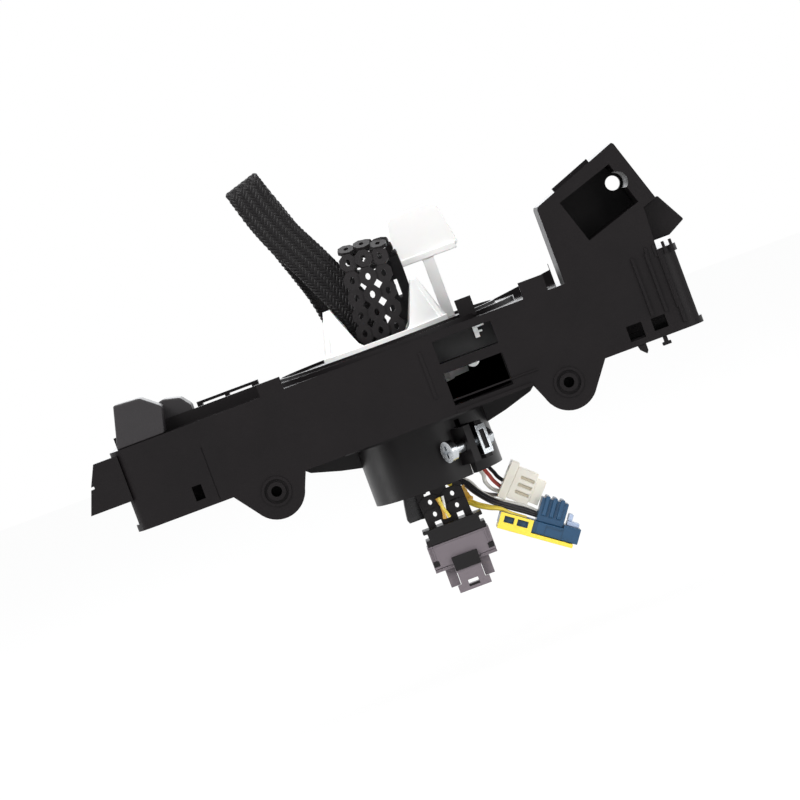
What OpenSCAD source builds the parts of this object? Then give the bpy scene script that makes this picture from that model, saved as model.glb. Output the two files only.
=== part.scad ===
// Airbag clock spring in its column switch carrier, with the wheel harness packed through the bore.
// Origin on the column axis at the lower rim of the clamp collar, +Z towards the steering wheel,
// +X to the right of the photographed side, which faces -Y. Millimetres.

/* [Column collar] */
// Diameter of the column tube that the collar clamps
column_d = 40; // [36:0.5:41]
// Wall of the clamp collar
collar_wall = 3; // [2.6:0.1:4]
// Height of the clamp collar
collar_h = 21; // [19:0.5:24]
// Slot that lets the collar close
split_gap = 2; // [1.4:0.1:2.6]
// Bearing of the slot, from +X towards +Y
split_bearing = -60; // [-70:1:-50]
// Thickness of each clamp ear
ear_t = 2.7; // [2.4:0.1:3.2]
// Reach of the ears from the column axis
ear_reach = 31.5; // [30:0.5:33]
// Clamp screw diameter
screw_d = 4; // [3.5:0.1:4.5]
// Thickness of the plate between the collar and the housing
plate_t = 1.4; // [1.2:0.1:2]

/* [Shroud lugs] */
// Distance between the two shroud screw holes
lug_spacing = 103; // [100:0.5:106]
// Height of the screw holes above the collar rim
lug_z = 19.3; // [18.8:0.1:19.8]
// Radius of the rounded lug
lug_r = 9.4; // [8.5:0.1:10]
// Thickness of the lug plate
lug_t = 4; // [3:0.5:6]
// Screw hole diameter
lug_hole_d = 3.6; // [3:0.1:4]
// Length of the screw boss
boss_len = 12; // [10:0.5:16]

/* [Housing] */
// Reach of the housing to the left of the column axis
left_reach = 99.2; // [94:0.2:104]
// Reach of the housing to the right of the column axis
right_reach = 100.8; // [98:0.2:105]
// Height of the housing wall
body_h = 27.8; // [26.5:0.1:30]
// Outer radius of the drum that holds the ribbon
drum_r = 46; // [45:0.2:47]
// Depth of the stalk bays from front face to rear face
bay_depth = 60; // [54:1:66]
// Moulded wall
wall = 2.4; // [2:0.1:2.8]
// Radius of the rounded front corners of the housing
corner_r = 6; // [4:0.5:8]
// Thickness of the floor under the ribbon chamber
floor_t = 3.3; // [2.8:0.1:4]
// Clear height of the ribbon chamber
chamber_h = 10.6; // [10:0.1:11.4]
// Diameter of the round hole at the back of the tower
tower_hole_d = 5; // [4:0.1:6]
// Depth of the tower from front to back
tower_depth = 26; // [22:1:32]

/* [Rotor] */
// Bore of the rotor hub
hub_bore_d = 30.4; // [29:0.2:31]
// Diameter of the hub where it turns in the chamber floor
hub_d = 38; // [37:0.2:39]
// Height of the driving horns above the hub flange
horn_h = 15.1; // [12:0.1:17]
// Outer radius of the rotor disc
disc_r = 37.9; // [37:0.1:39]
// Thickness of the rotor disc
disc_t = 2; // [1.6:0.1:2.4]
// Thickness of the hub flange
flange_t = 1.9; // [1.6:0.1:2.6]
// Outer radius of the cancelling ring
cancel_r = 26; // [24:0.5:28]
// Radial running clearance of the hub in the floor
run_clear = 0.06; // [0.03:0.01:0.09]
// Gap between turning and fixed faces
face_clear = 0.4; // [0.3:0.05:0.6]

/* [Ribbon cable] */
// Turns of the flat cable between hub and drum
ribbon_turns = 5; // [4:1:6]
// Thickness of the flat cable as wound
ribbon_t = 0.4; // [0.3:0.05:0.6]
// Width of the flat cable
ribbon_w = 8; // [7:0.2:9]
// Radial pitch of its turns
ribbon_pitch = 2.4; // [2.2:0.1:2.8]

/* [Transport lock] */
// Height of the grip plate
grip_h = 18; // [14:0.5:22]
// Width of the grip plate at its foot
grip_w = 23.8; // [20:0.2:26]
// Length of the stem from the rotor disc to the grip plate
stem_len = 21.7; // [18:0.1:26]

/* [Harness] */
// Width of the perforated sleeve, lying flat
perf_w = 16.6; // [15:0.2:17.4]
// Thickness of the perforated sleeve
perf_t = 4.2; // [3.4:0.1:4.6]
// Width of the braided sleeve, lying flat
braid_w = 13.6; // [12:0.2:14]
// Thickness of the braided sleeve
braid_t = 3; // [2.4:0.1:3.4]
// Diameter of the airbag wire pair
squib_wire_d = 2.8; // [2:0.1:3]
// Diameter of the signal wire bundle
signal_wire_d = 3.2; // [2.4:0.1:3.4]
// Width of the black switch plug
plug_w = 21.4; // [20:0.2:23]
// Depth of the black switch plug from front to back
plug_d = 12; // [10:0.5:13]
// Length of the blue airbag plug
squib_len = 28; // [26:0.5:30]
// Width of the ivory plug across its flange
ivory_w = 13.6; // [12:0.2:15]
// Length of the ivory plug
ivory_len = 14; // [12:0.5:15]

/* [Hidden] */
$fn = 64;
// Amount by which a cut runs past the face that it opens
over = 1;

// Heights
body_z0 = collar_h + plate_t;
body_z1 = body_z0 + body_h;
floor_z1 = body_z1 - chamber_h;
floor_z0 = floor_z1 - floor_t;
cover_t = 1.4;
disc_z0 = body_z1 - 0.6;
disc_z1 = disc_z0 + disc_t;
flange_z1 = disc_z1 + flange_t;
horn_z1 = flange_z1 + horn_h;

// Plan of the housing
front_y = -drum_r;
rear_y = front_y + bay_depth;
inner_front_y = front_y + wall;
drum_inner_r = drum_r - wall;
collar_r = column_d / 2 + collar_wall;
hub_r = hub_d / 2;
hub_bore_r = hub_bore_d / 2;

// Windows in the front wall, between the floor of the ribbon chamber and the housing edges
window_x = [13.7, 34.2];
window_edge = 2.7;

// Outline of the tower in X and Z, and of its recess
tower_x0 = 61.5;
tower_top = [[63.2, 77.5], [91.9, 88.4]];
tower_right = [99.5, 66.3];
tower_tilt = 20.8;
recess_corner = [74.1, 60.7];
recess_size = [21.6, 15.8];
tower_hole = [89.6, 75.6];
tower_neck = [94.6, 64.7];
tower_hook_outline = [tower_neck, tower_right, [100.8, 66.7], [106.4, 56.4], [100.2, 53.1], [94.12, 53.1]];

// Left end
fin_outline = [[-96.9, 48.8], [-105.1, 48.8], [-108.4, 41.9], [-107.4, 41.9], [-107.4, 41],
    [-108.7, 41], [-109.2, 39.6], [-111.7, 33], [-96.9, 33]];
fin_t = 5;
hood_outline = [[-96.1, 50.6], [-92.2, 65], [-83.3, 64.4], [-77.1, 59.4], [-79.4, 50.6]];
hood_back_outline = [[-84, 50.6], [-84, 59], [-77.1, 61], [-71.5, 59.6], [-68.8, 56.1], [-68.8, 50.6]];

// Rings of the shroud screw bosses, and the round plate that closes the housing from below
boss_r = 5;
lug_rim = 0.6;
collar_plate_r = 36;

// Clamp, in a frame whose X runs along the screw and whose -Y runs out from the column
ear_x = [-2.4, -2.4 + ear_t];
slot_x = [ear_x[1], ear_x[1] + split_gap];
far_ear_x = [slot_x[1], slot_x[1] + ear_t];
screw_y = -27.6;
screw_z = collar_h / 2;
ear_z = [screw_z - 6.4, screw_z + 6.4];
clip_t = 0.6;
clip_half = 5.1;
head_r = 3.7;
head_t = 2.3;
head_gap = 4.6;

// Ribbon, wound from the hub terminal out to the housing terminal
terminal_bearing = -47;
terminal_half = 5;
turn_overlap = 0.5;
ribbon_r0 = hub_r + 4.6;
ribbon_z0 = floor_z1 + 1;
ribbon_end_r = ribbon_r0 + ribbon_turns * ribbon_pitch + ribbon_t;

// Rotor details
horn_foot_r = 21.4;
horn_tip_r = 17.2;
notch_foot = 9.2;
notch_tip = 14.3;
outlet_h = 4.4;
outlet_y = 26;
outlet_wall = 1.4;
perf_outlet_x = 5;
braid_outlet_x = -11.2;
lock_x = 23.6;
lock_y = 24;
stem_w = 4;
stem_t = 3;
grip_t = 2;
grip_lean = 2.6;
rim_t = 2.3;

// Harness routes, chosen by hand: point, then the lean of the flat sleeve across the view
perf_route = [[[5, 26, 56], 0], [[5.4, 24.5, 63], 0], [[5.6, 18.5, 73], -2], [[5, 10.5, 81], -6],
    [[4, 2.5, 85], -10], [[3, -3.5, 84], -10], [[2.2, -7, 79.5], -8], [[1.4, -8.4, 72], -4],
    [[0.4, -8.6, 63], 0], [[-0.8, -8.2, 54], 0], [[-1.4, -7.4, 40], 0], [[-1.6, -6.8, 22], 0],
    [[-1.6, -6.2, 4], 0], [[-1, -5.6, -13.2], 0]];
braid_route = [[[-11.2, 26, 56], 0], [[-11.8, 24.6, 64], 8], [[-14, 20, 76], 16], [[-19, 14.5, 92], 18],
    [[-24.4, 9.5, 108], 18], [[-27.4, 7, 117], 18], [[-28, 5, 119], 18], [[-27.4, 3, 117], 18],
    [[-24.7, 2.5, 107.6], 18], [[-21, 2.2, 98], 18], [[-15, 2, 86], 18], [[-10, 2, 75], 16],
    [[-5.8, 2, 65], 12], [[-3.8, 2, 55], 6], [[-3.4, 2, 40], 0], [[-4.4, 2.4, 22], 0], [[-5.4, 3, 6], 0]];
tail_route = [[[-8.9, 3, 6], 0], [[-9.6, 3, 2], 0], [[-11, 3, -4], 0], [[-11.9, 3, -9.9], 0]];
tail_w = 6;
tail_t = 1.4;
squib_route = [[-0.6, 3, 6], [0.2, 2.6, 2], [2.8, 1, -3], [6.4, -1, -7.6], [11.2, -3.4, -11.4], [15, -4.6, -16.9]];
signal_route = [[-4.4, 3, 6], [-3.8, 4.8, 2.6], [0.6, 7, -0.6], [7, 7.4, -3], [13.6, 6.4, -4.4], [20.2, 5, -6.4]];

// Plugs
plug_x = -0.8;
plug_y = -5.6;
plug_top = -13.2;
cap_h = 5.6;
plug_h = 9.2;
squib_at = [15, -4.6, -17.6];
squib_tilt = 36;
squib_t = 4.2;
squib_d = 11;
ivory_at = [21.4, 5.2, -6.6];
ivory_tilt = 43;
ivory_d = 8.6;
lock_gap = 0.15;

// Block between two opposite corners
module block(low, high) {
    translate(low) cube(high - low);
}

// Outline drawn in X and Z, thick from y0 to y1
module upright(y0, y1) {
    translate([0, y1, 0]) rotate([90, 0, 0]) linear_extrude(y1 - y0) children();
}

// Tube or disc about the column axis
module ring(r_in, r_out, z0, z1) {
    translate([0, 0, z0]) difference() {
        cylinder(r = r_out, h = z1 - z0);
        translate([0, 0, -over]) cylinder(r = r_in, h = z1 - z0 + 2 * over);
    }
}

// Frame of the clamp: X along the screw, -Y outwards
module at_clamp() {
    rotate([0, 0, split_bearing + 90]) children();
}

// Rectangle with rounded corners, lying in X and Y
module round_rect(x0, x1, y0, y1, r) {
    translate([x0 + r, y0]) square([x1 - x0 - 2 * r, y1 - y0]);
    translate([x0, y0 + r]) square([x1 - x0, y1 - y0 - 2 * r]);
    for (x = [x0 + r, x1 - r], y = [y0 + r, y1 - r]) translate([x, y]) circle(r);
}

// Housing

module body_plan() {
    round_rect(-left_reach, right_reach, front_y, rear_y, corner_r);
    circle(drum_r);
}

// Hollow of one stalk bay, open at the outer end
module bay_hollow(x0, x1) {
    difference() {
        block([x0, inner_front_y, body_z0 + wall], [x1, rear_y - wall, body_z1 - wall]);
        translate([0, 0, body_z0]) cylinder(r = drum_r, h = body_h);
    }
}

// Guide rails that the stalk switches slide along
module bay_rails(x0, x1) {
    rail = 1.6;
    for (z = [body_z0 + wall, body_z1 - wall - rail], y = [inner_front_y + 8, rear_y - wall - 10])
        block([x0, y, z], [x1, y + rail, z + rail]);
}

module front_windows() {
    edge_z0 = body_z0 + window_edge;
    edge_z1 = body_z1 - window_edge;
    block([window_x[0], front_y - over, floor_z1], [window_x[1], -20, edge_z1]);
    block([window_x[0], front_y - over, edge_z0], [window_x[1], -20, floor_z0]);
}

module front_slots() {
    // Slot, parting groove and the two notches above the clips
    block([-77.4, front_y - over, body_z0 + 3], [-74.1, inner_front_y + over, body_z0 + 8]);
    block([-70, front_y - over, body_z0 + 1], [-69.6, front_y + 0.35, body_z0 + 19.2]);
    block([75.4, front_y - over, body_z0 + 2], [80.7, inner_front_y + over, body_z0 + 7.3]);
    block([84, front_y - over, body_z0 + 2.7], [88.9, inner_front_y + over, body_z0 + 7]);
}

// Low walls, tabs and ramp on top of the housing
module top_details() {
    low_wall_y = front_y + 14;
    block([-96.9, low_wall_y, body_z1 - over], [-46, low_wall_y + 2, body_z1 + 3.9]);
    block([-45.7, front_y, body_z1 - over], [-37.5, inner_front_y, body_z1 + 4.3]);
    block([47, front_y, body_z1 - over], [55.6, inner_front_y, body_z1 + 5.6]);
    upright(rear_y - 3, rear_y)
        polygon([[46.5, body_z1 - over], [46.5, body_z1 + 5.8], [tower_x0, body_z1 + 6.8], [tower_x0, body_z1 - over]]);
    // Thin ledge at the rear of the left bay
    upright(rear_y - 6, rear_y)
        polygon([[-68.8, body_z1 - over], [-68.8, body_z1 + 5.9], [-49, body_z1 + 5.9], [-46.4, body_z1 + 4.6],
            [-46.4, body_z1 - over]]);
}

// Ribs on the right end of the front wall
module skirt_ribs() {
    for (x = [84.6, 89.4, 93.6]) block([x, front_y - 0.8, body_z0 + 7.6], [x + 1, front_y + over, body_z1]);
}

module ledge() {
    block([window_x[0], front_y - 0.8, body_z0], [40.1, front_y + over, body_z0 + 1.2]);
}

// Rounded lug that hangs from the front wall, with its ringed screw boss
module lug(side) {
    inner_reach = 11.4;
    outer_reach = 14;
    shoulder = 8.1;
    x = side * lug_spacing / 2;
    upright(front_y, front_y + lug_t) translate([x, lug_z]) {
        circle(lug_r);
        polygon([[side * outer_reach, body_z0 - lug_z], [side * shoulder, -4.8],
            [-side * shoulder, -4.8], [-side * inner_reach, body_z0 - lug_z]]);
    }
    upright(front_y - lug_rim, front_y + over) translate([x, lug_z]) circle(boss_r);
    upright(front_y + over, front_y + boss_len) translate([x, lug_z]) circle(boss_r);
}

module lug_hole(side) {
    x = side * lug_spacing / 2;
    upright(front_y - over, front_y + boss_len - 2) translate([x, lug_z]) circle(lug_hole_d / 2);
    upright(front_y - over, front_y + 0.4) translate([x, lug_z]) difference() {
        circle(boss_r - 0.9);
        circle(boss_r - 1.9);
    }
}

module switch_carrier() {
    color("#2b2a2c") {
        difference() {
            union() {
                translate([0, 0, body_z0]) linear_extrude(body_h) body_plan();
                top_details();
                skirt_ribs();
                ledge();
                upright(front_y, front_y + fin_t) polygon(fin_outline);
                lug(-1);
                lug(1);
            }
            lug_hole(-1);
            lug_hole(1);
            // Ribbon chamber, lower chamber and the bearing hole between them
            translate([0, 0, floor_z1]) cylinder(r = drum_inner_r, h = chamber_h + over);
            translate([0, 0, body_z0 + wall]) cylinder(r = drum_inner_r, h = floor_z0 - body_z0 - wall);
            translate([0, 0, body_z0 - over]) cylinder(r = 30, h = wall + 2 * over);
            translate([0, 0, floor_z0 - over]) cylinder(r = hub_r + run_clear, h = floor_t + 2 * over, $fn = 96);
            bay_hollow(-left_reach - over, 0);
            bay_hollow(0, right_reach + over);
            front_windows();
            front_slots();
        }
        bay_rails(-left_reach + 4, -drum_r - 4);
        bay_rails(drum_r + 4, right_reach - 4);
    }
}

// Collar

module clamp_ears() {
    at_clamp() {
        block([ear_x[0], -ear_reach, ear_z[0]], [ear_x[1] + over, -column_d / 2, ear_z[1]]);
        block([far_ear_x[0] - over, -ear_reach, ear_z[0]], [far_ear_x[1], -column_d / 2, ear_z[1]]);
    }
}

module collar_plate() {
    reach = lug_spacing / 2 - 6;
    translate([0, 0, collar_h]) linear_extrude(plate_t) {
        round_rect(-reach, reach, -24, 14, 4);
        circle(collar_plate_r);
    }
}

module gussets() {
    for (side = [-1, 1]) upright(-2, 1) polygon([[side * (column_d / 2 + 1), 13.6], [side * 30, 15.6],
        [side * 40.1, 18.6], [side * 44, body_z0 - over / 2], [side * (column_d / 2 + 1), body_z0 - over / 2]]);
}

module column_collar() {
    color("#29282a") difference() {
        union() {
            ring(column_d / 2 - over, collar_r, 0, body_z0);
            collar_plate();
            clamp_ears();
            gussets();
        }
        translate([0, 0, -over]) cylinder(d = column_d, h = body_z0 + 2 * over, $fn = 96);
        at_clamp() block([slot_x[0], -ear_reach - over, -over], [slot_x[1], -column_d / 2 + 6, collar_h - 1.6]);
        at_clamp() translate([ear_x[0] - over, screw_y, screw_z]) rotate([0, 90, 0])
            cylinder(d = screw_d + 0.5, h = far_ear_x[1] - ear_x[0] + 2 * over);
    }
}

module clamp_screw() {
    head_x = ear_x[0] - head_gap;
    color("#c3c6c9") at_clamp() translate([head_x, screw_y, screw_z]) rotate([0, 90, 0]) difference() {
        union() {
            cylinder(d = screw_d, h = far_ear_x[1] - head_x + 4.2);
            translate([0, 0, -head_t]) cylinder(r = head_r, h = head_t);
        }
        for (turn = [0, 90]) rotate([0, 0, turn]) translate([-2.2, -0.5, -head_t - over]) cube([4.4, 1, over + 1.3]);
    }
}

// Spring steel clip that straddles the far ear, with its pressed nut
module clip_nut() {
    outer_x = far_ear_x[1] + clip_t;
    hole_r = screw_d / 2 + 0.05;
    window_half = 3.3;
    color("#c9ccd0") at_clamp() difference() {
        union() {
            block([far_ear_x[0] - clip_t, -ear_reach - clip_t, screw_z - clip_half],
                [far_ear_x[0], screw_y + 4, screw_z + clip_half]);
            block([far_ear_x[1], -ear_reach - clip_t, screw_z - clip_half], [outer_x, screw_y + 4, screw_z + clip_half]);
            block([far_ear_x[0] - clip_t, -ear_reach - clip_t, screw_z - clip_half],
                [outer_x, -ear_reach, screw_z + clip_half]);
            translate([far_ear_x[1], screw_y, screw_z]) rotate([0, 90, 0]) cylinder(d = 6.2, h = 3.2);
        }
        block([far_ear_x[0] + 0.4, -ear_reach - 2 * clip_t, screw_z - window_half],
            [far_ear_x[1] - 0.4, -ear_reach + 0.1, screw_z + window_half]);
        translate([far_ear_x[0] - 2, screw_y, screw_z]) rotate([0, 90, 0]) cylinder(r = hole_r, h = 12);
    }
}

// Fixed ring round the rotor disc, with its snap hooks and index tab
module drum_cover() {
    color("#2f2e30") {
        ring(disc_r + face_clear, drum_r - 0.2, body_z1, body_z1 + cover_t);
        ring(disc_r + face_clear, disc_r + face_clear + 1.2, body_z1 + cover_t, body_z1 + cover_t + 0.9);
        for (turn = [20, 90, 160, 205]) rotate([0, 0, turn])
            block([drum_inner_r - 1.6, -3, body_z1 - 4], [drum_inner_r - 0.4, 3, body_z1]);
        block([25.6, -34.6, body_z1 + 0.5], [31.2, -32.6, body_z1 + 7.2]);
    }
}

module tower_outline() {
    foot_z = body_z1;
    polygon([[tower_x0, foot_z], [tower_x0, 76], [61.9, 77], tower_top[0], tower_top[1], [92.6, 87.8], tower_right,
        tower_neck, [94, foot_z]]);
}

module right_tower() {
    color("#2c2b2d") difference() {
        union() {
            upright(front_y, front_y + tower_depth) tower_outline();
            // Raised lip along the slanted top
            translate([tower_top[0][0] + 6, front_y + 4, tower_top[0][1] + 6 * tan(tower_tilt) - 0.3])
                rotate([0, -tower_tilt, 0]) cube([15, 3, 1.6]);
        }
        // Recess open to the front, its floor ribs left standing
        translate([recess_corner[0], front_y - over, recess_corner[1]]) rotate([0, -18, 0])
            cube([recess_size[0] - 1, tower_depth - wall + over, recess_size[1]]);
        upright(front_y - over, front_y + tower_depth - wall) translate(tower_hole) circle(tower_hole_d / 2 + 0.9);
        upright(front_y, front_y + tower_depth + over) translate(tower_hole) circle(tower_hole_d / 2);
        // Hollow from below, behind the front wall
        block([tower_x0 + wall, front_y + wall, body_z1 - over], [71.5, front_y + tower_depth - wall, 72]);
    }
}

module tower_hook() {
    color("#323133") upright(front_y + 7, front_y + tower_depth - 4) polygon(tower_hook_outline);
}

// Latch housing on the left bay, hollow from the rear
module left_hood() {
    hood_y = front_y + 0.6;
    color("#3a393b") {
        difference() {
            upright(hood_y, hood_y + 13.2) polygon([for (p = hood_outline) [p[0], p[1] - 50.6 + body_z1]]);
            upright(hood_y + wall, hood_y + 14.2)
                polygon([[-93.4, body_z1 + wall], [-90.8, body_z1 + 12], [-83.8, body_z1 + 11.4],
                    [-79.8, body_z1 + 8], [-81.6, body_z1 + wall]]);
        }
        difference() {
            upright(hood_y + 15.6, hood_y + 30) polygon([for (p = hood_back_outline) [p[0], p[1] - 50.6 + body_z1]]);
            upright(hood_y + 17.6, hood_y + 31)
                polygon([[-82, body_z1 - over], [-82, body_z1 + 6.6], [-77, body_z1 + 8.2], [-72.6, body_z1 + 7.2],
                    [-70.8, body_z1 + 4.6], [-70.8, body_z1 - over]]);
        }
    }
}

// Arrow clip and T pin under the right end
module skirt_clips() {
    clip_y = front_y + 0.4;
    color("#353436") {
        upright(clip_y, clip_y + 2) polygon([[77, body_z0], [79.9, body_z0], [79.9, body_z0 - 2.4],
            [79.2, body_z0 - 3.4], [77.4, body_z0 - 1.6]]);
        upright(clip_y, clip_y + 2) polygon([[85.8, body_z0], [87.2, body_z0], [87.2, body_z0 - 1.8],
            [88, body_z0 - 1.8], [88, body_z0 - 2.9], [85, body_z0 - 2.9], [85, body_z0 - 1.8], [85.8, body_z0 - 1.8]]);
    }
}

// Ribbon chamber

// Half turn of the flat cable, on one side or the other of the line through both centres
module half_turn(r, flip) {
    rotate([0, 0, flip ? 180 : 0]) rotate_extrude(angle = 180 + turn_overlap) translate([r, 0])
        square([ribbon_t, ribbon_w]);
}

// Spiral of half turns about two centres half a pitch apart
module ribbon_cable() {
    color("#b9763a") rotate([0, 0, terminal_bearing]) translate([0, 0, ribbon_z0])
        for (i = [0:2 * ribbon_turns - 1]) translate([i % 2 * ribbon_pitch / 2, 0, 0])
            half_turn(ribbon_r0 + i * ribbon_pitch / 2, i % 2 == 1);
}

module stator_terminal() {
    color("#e9e6df") {
        rotate([0, 0, terminal_bearing]) block([ribbon_end_r + 0.2, -terminal_half, floor_z1],
            [drum_inner_r - 0.6, terminal_half, body_z1 - 1.2]);
        // Hook seen through the upper window
        upright(-37.4, -31) polygon([[27.9, 47.4], [27.9, 43.2], [29.6, 43.2], [29.9, 46], [31.8, 46.2], [31.8, 47.4]]);
    }
}

// Receptacle for the vehicle side plug, open to the rear
module rear_socket() {
    color("#262527") difference() {
        block([-17, drum_r - 3, body_z0], [17, drum_r + 13, body_z1 - 3]);
        block([-15.4, drum_r + 1.6, body_z0 + 1.6], [15.4, drum_r + 14, body_z1 - 4.6]);
        translate([0, 0, body_z0 - over]) cylinder(r = drum_r, h = body_h + over);
    }
}

module contact_pins() {
    color("#c9a24b") for (i = [-3:3], z = [body_z0 + 7, body_z0 + 15])
        block([i * 4 - 0.5, drum_r + 1.6, z], [i * 4 + 0.5, drum_r + 8, z + 1]);
}

// Rotor

// Wedge of the front and rear notches between the horns
module notch_profile() {
    fillet = 1.4;
    polygon([[-notch_foot + fillet, flange_z1], [notch_foot - fillet, flange_z1], [notch_foot, flange_z1 + fillet],
        [notch_tip - 0.4, horn_z1 - 2], [notch_tip + 0.6, horn_z1 + over], [-notch_tip - 0.6, horn_z1 + over],
        [-notch_tip + 0.4, horn_z1 - 2], [-notch_foot, flange_z1 + fillet]]);
}

module rotor_hub() {
    neck_r = hub_r - 1.4;
    color("#f1f1ef") difference() {
        union() {
            translate([0, 0, floor_z0 - 4.4]) cylinder(r = neck_r, h = 5);
            translate([0, 0, floor_z0]) cylinder(r = hub_r, h = disc_z1 - floor_z0, $fn = 96);
            translate([0, 0, disc_z1]) cylinder(r = 22.5, h = flange_t);
            translate([0, 0, flange_z1]) cylinder(r1 = horn_foot_r, r2 = horn_tip_r, h = horn_h);
            // Ribs on the outside of the horns
            for (turn = [-24, 0, 24, 156, 180, 204]) rotate([0, 0, turn])
                translate([0, 0.5, 0]) rotate([90, 0, 0]) linear_extrude(1)
                    polygon([[horn_tip_r - 1, flange_z1 - 0.5], [22.3, flange_z1 - 0.5],
                        [horn_tip_r + 1, horn_z1 - 3], [horn_tip_r - 1, horn_z1 - 3]]);
        }
        translate([0, 0, floor_z0 - 6]) cylinder(r = hub_bore_r, h = horn_z1 - floor_z0 + 8, $fn = 96);
        upright(-30, 30) notch_profile();
    }
}

module rotor_disc() {
    color("#2a292b") difference() {
        ring(hub_r, disc_r, disc_z0, disc_z1);
        block([lock_x - stem_w / 2 - 0.1, lock_y - stem_t / 2 - 0.1, disc_z0 - over],
            [lock_x + stem_w / 2 + 0.1, lock_y + stem_t / 2 + 0.1, disc_z1 + over]);
    }
}

module sleeve_outlet(x, w, t) {
    difference() {
        block([x - w / 2 - outlet_wall, outlet_y - t / 2 - outlet_wall, disc_z1],
            [x + w / 2 + outlet_wall, outlet_y + t / 2 + outlet_wall, disc_z1 + outlet_h]);
        block([x - w / 2 + 1, outlet_y - t / 2 + 0.6, disc_z1 + 1.4], [x + w / 2 - 1, outlet_y + t / 2 - 0.6, disc_z1 + 9]);
    }
}

module sleeve_outlets() {
    color("#242325") {
        sleeve_outlet(perf_outlet_x, perf_w - 4, perf_t);
        sleeve_outlet(braid_outlet_x, braid_w - 4, braid_t);
    }
}

module rotor_terminal() {
    color("#dedbd3") difference() {
        rotate([0, 0, terminal_bearing]) block([hub_r - 2, -terminal_half, floor_z1 + 0.6],
            [ribbon_r0 - 0.9, terminal_half, disc_z0]);
        translate([0, 0, floor_z1]) cylinder(r = hub_r, h = chamber_h, $fn = 96);
    }
}

module cancel_ring() {
    ring_t = 3;
    color("#f3f2ee") translate([0, 0, floor_z0 - 0.3 - ring_t]) difference() {
        union() {
            cylinder(r = cancel_r - 3, h = ring_t);
            for (turn = [-42, 138]) rotate([0, 0, turn]) block([hub_r, -5, 0], [cancel_r, 5, ring_t]);
        }
        translate([0, 0, -over]) cylinder(r = hub_r - 1.4, h = ring_t + 2 * over);
    }
}

module transport_lock() {
    foot = disc_z1 + stem_len;
    half = grip_w / 2;
    color("#f4f3f0") translate([lock_x, lock_y, 0]) {
        block([-stem_w / 2, -stem_t / 2, disc_z0 + 0.2], [stem_w / 2, stem_t / 2, foot + over]);
        upright(-grip_t / 2, grip_t / 2) polygon([[-half + 2, foot], [half - 2, foot], [half, foot + 2],
            [half - grip_lean, foot + grip_h - 2], [half - grip_lean - 2, foot + grip_h],
            [-half + grip_lean + 2, foot + grip_h], [-half + grip_lean, foot + grip_h - 2], [-half, foot + 2]]);
        block([-half + 1, -rim_t, foot], [half - 1, rim_t, foot + rim_t]);
    }
}

// Harness

function unit(v) = v / norm(v);
function tangent(points, i) = let (n = len(points) - 1)
    i == 0 ? unit(points[1] - points[0])
    : i == n ? unit(points[n] - points[n - 1])
    : unit(unit(points[i + 1] - points[i]) + unit(points[i] - points[i - 1]));
// Section of a flat sleeve, eight corners in shares of its half width and half thickness
flat_section = [[1, -0.5], [1, 0.5], [0.8, 1], [-0.8, 1], [-1, 0.5], [-1, -0.5], [-0.8, -1], [0.8, -1]];
function across(t, lean) = let (w = [cos(lean), 0, sin(lean)]) unit(w - (w * t) * t);
function flat_ring(c, t, lean, w, h) = let (u = across(t, lean), v = cross(t, u))
    [for (s = flat_section) c + u * s[0] * w / 2 + v * s[1] * h / 2];
function tube_faces(rings, sides) = concat(
    [[for (k = [0:sides - 1]) k]],
    [for (i = [0:rings - 2], k = [0:sides - 1])
        [i * sides + k, (i + 1) * sides + k, (i + 1) * sides + (k + 1) % sides, i * sides + (k + 1) % sides]],
    [[for (k = [sides - 1:-1:0]) (rings - 1) * sides + k]]);
function level(points, i) = i == 0 || i == len(points) - 1;
function end_tangent(points, i) = level(points, i) ? [0, 0, sign(tangent(points, i)[2])] : tangent(points, i);

// Flat sleeve swept along a route of points and leans
module flat_sleeve(route, w, h) {
    points = [for (r = route) r[0]];
    rings = [for (i = [0:len(route) - 1]) flat_ring(points[i], end_tangent(points, i), route[i][1], w, h)];
    polyhedron(points = [for (r = rings) each r], faces = tube_faces(len(rings), 8), convexity = 6);
}

// Round wire bundle swept along a route, its first ring level and its last square to the last stretch
module wire_tube(points, d) {
    sides = 8;
    rings = [for (i = [0:len(points) - 1]) let (t = i == 0 ? [0, 0, -1] : tangent(points, i),
        u = unit(cross(t, [0, 1, 0])), v = cross(t, u))
        [for (k = [0:sides - 1]) points[i] + (u * cos(k * 360 / sides) + v * sin(k * 360 / sides)) * d / 2]];
    polyhedron(points = [for (r = rings) each r], faces = tube_faces(len(rings), sides), convexity = 6);
}

module braided_sleeve() {
    color("#2e2d30") flat_sleeve(braid_route, braid_w, braid_t);
}

module perforated_sleeve() {
    color("#38373a") flat_sleeve(perf_route, perf_w, perf_t);
}

module sleeve_tail() {
    color("#232224") flat_sleeve(tail_route, tail_w, tail_t);
}

module squib_wires() {
    color("#e0c53c") wire_tube(squib_route, squib_wire_d);
}

module signal_wires() {
    color("#c7c0b4") wire_tube(signal_route, signal_wire_d);
}

// Black switch plug, hanging below the collar

module plug_block(half_w, y0, y1, z0, z1) {
    block([plug_x - half_w, plug_y + y0, z0], [plug_x + half_w, plug_y + y1, z1]);
}

module switch_plug_cap() {
    half = plug_w / 2;
    color("#1f1e20") difference() {
        plug_block(half, -plug_d / 2, plug_d / 2, plug_top - cap_h, plug_top);
        for (side = [-1, 1]) block([plug_x + side * half - 1.4, plug_y - plug_d / 2 - over, plug_top - 3.4],
            [plug_x + side * half + 1.4, plug_y + plug_d / 2 + over, plug_top - 1.2]);
    }
}

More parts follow.
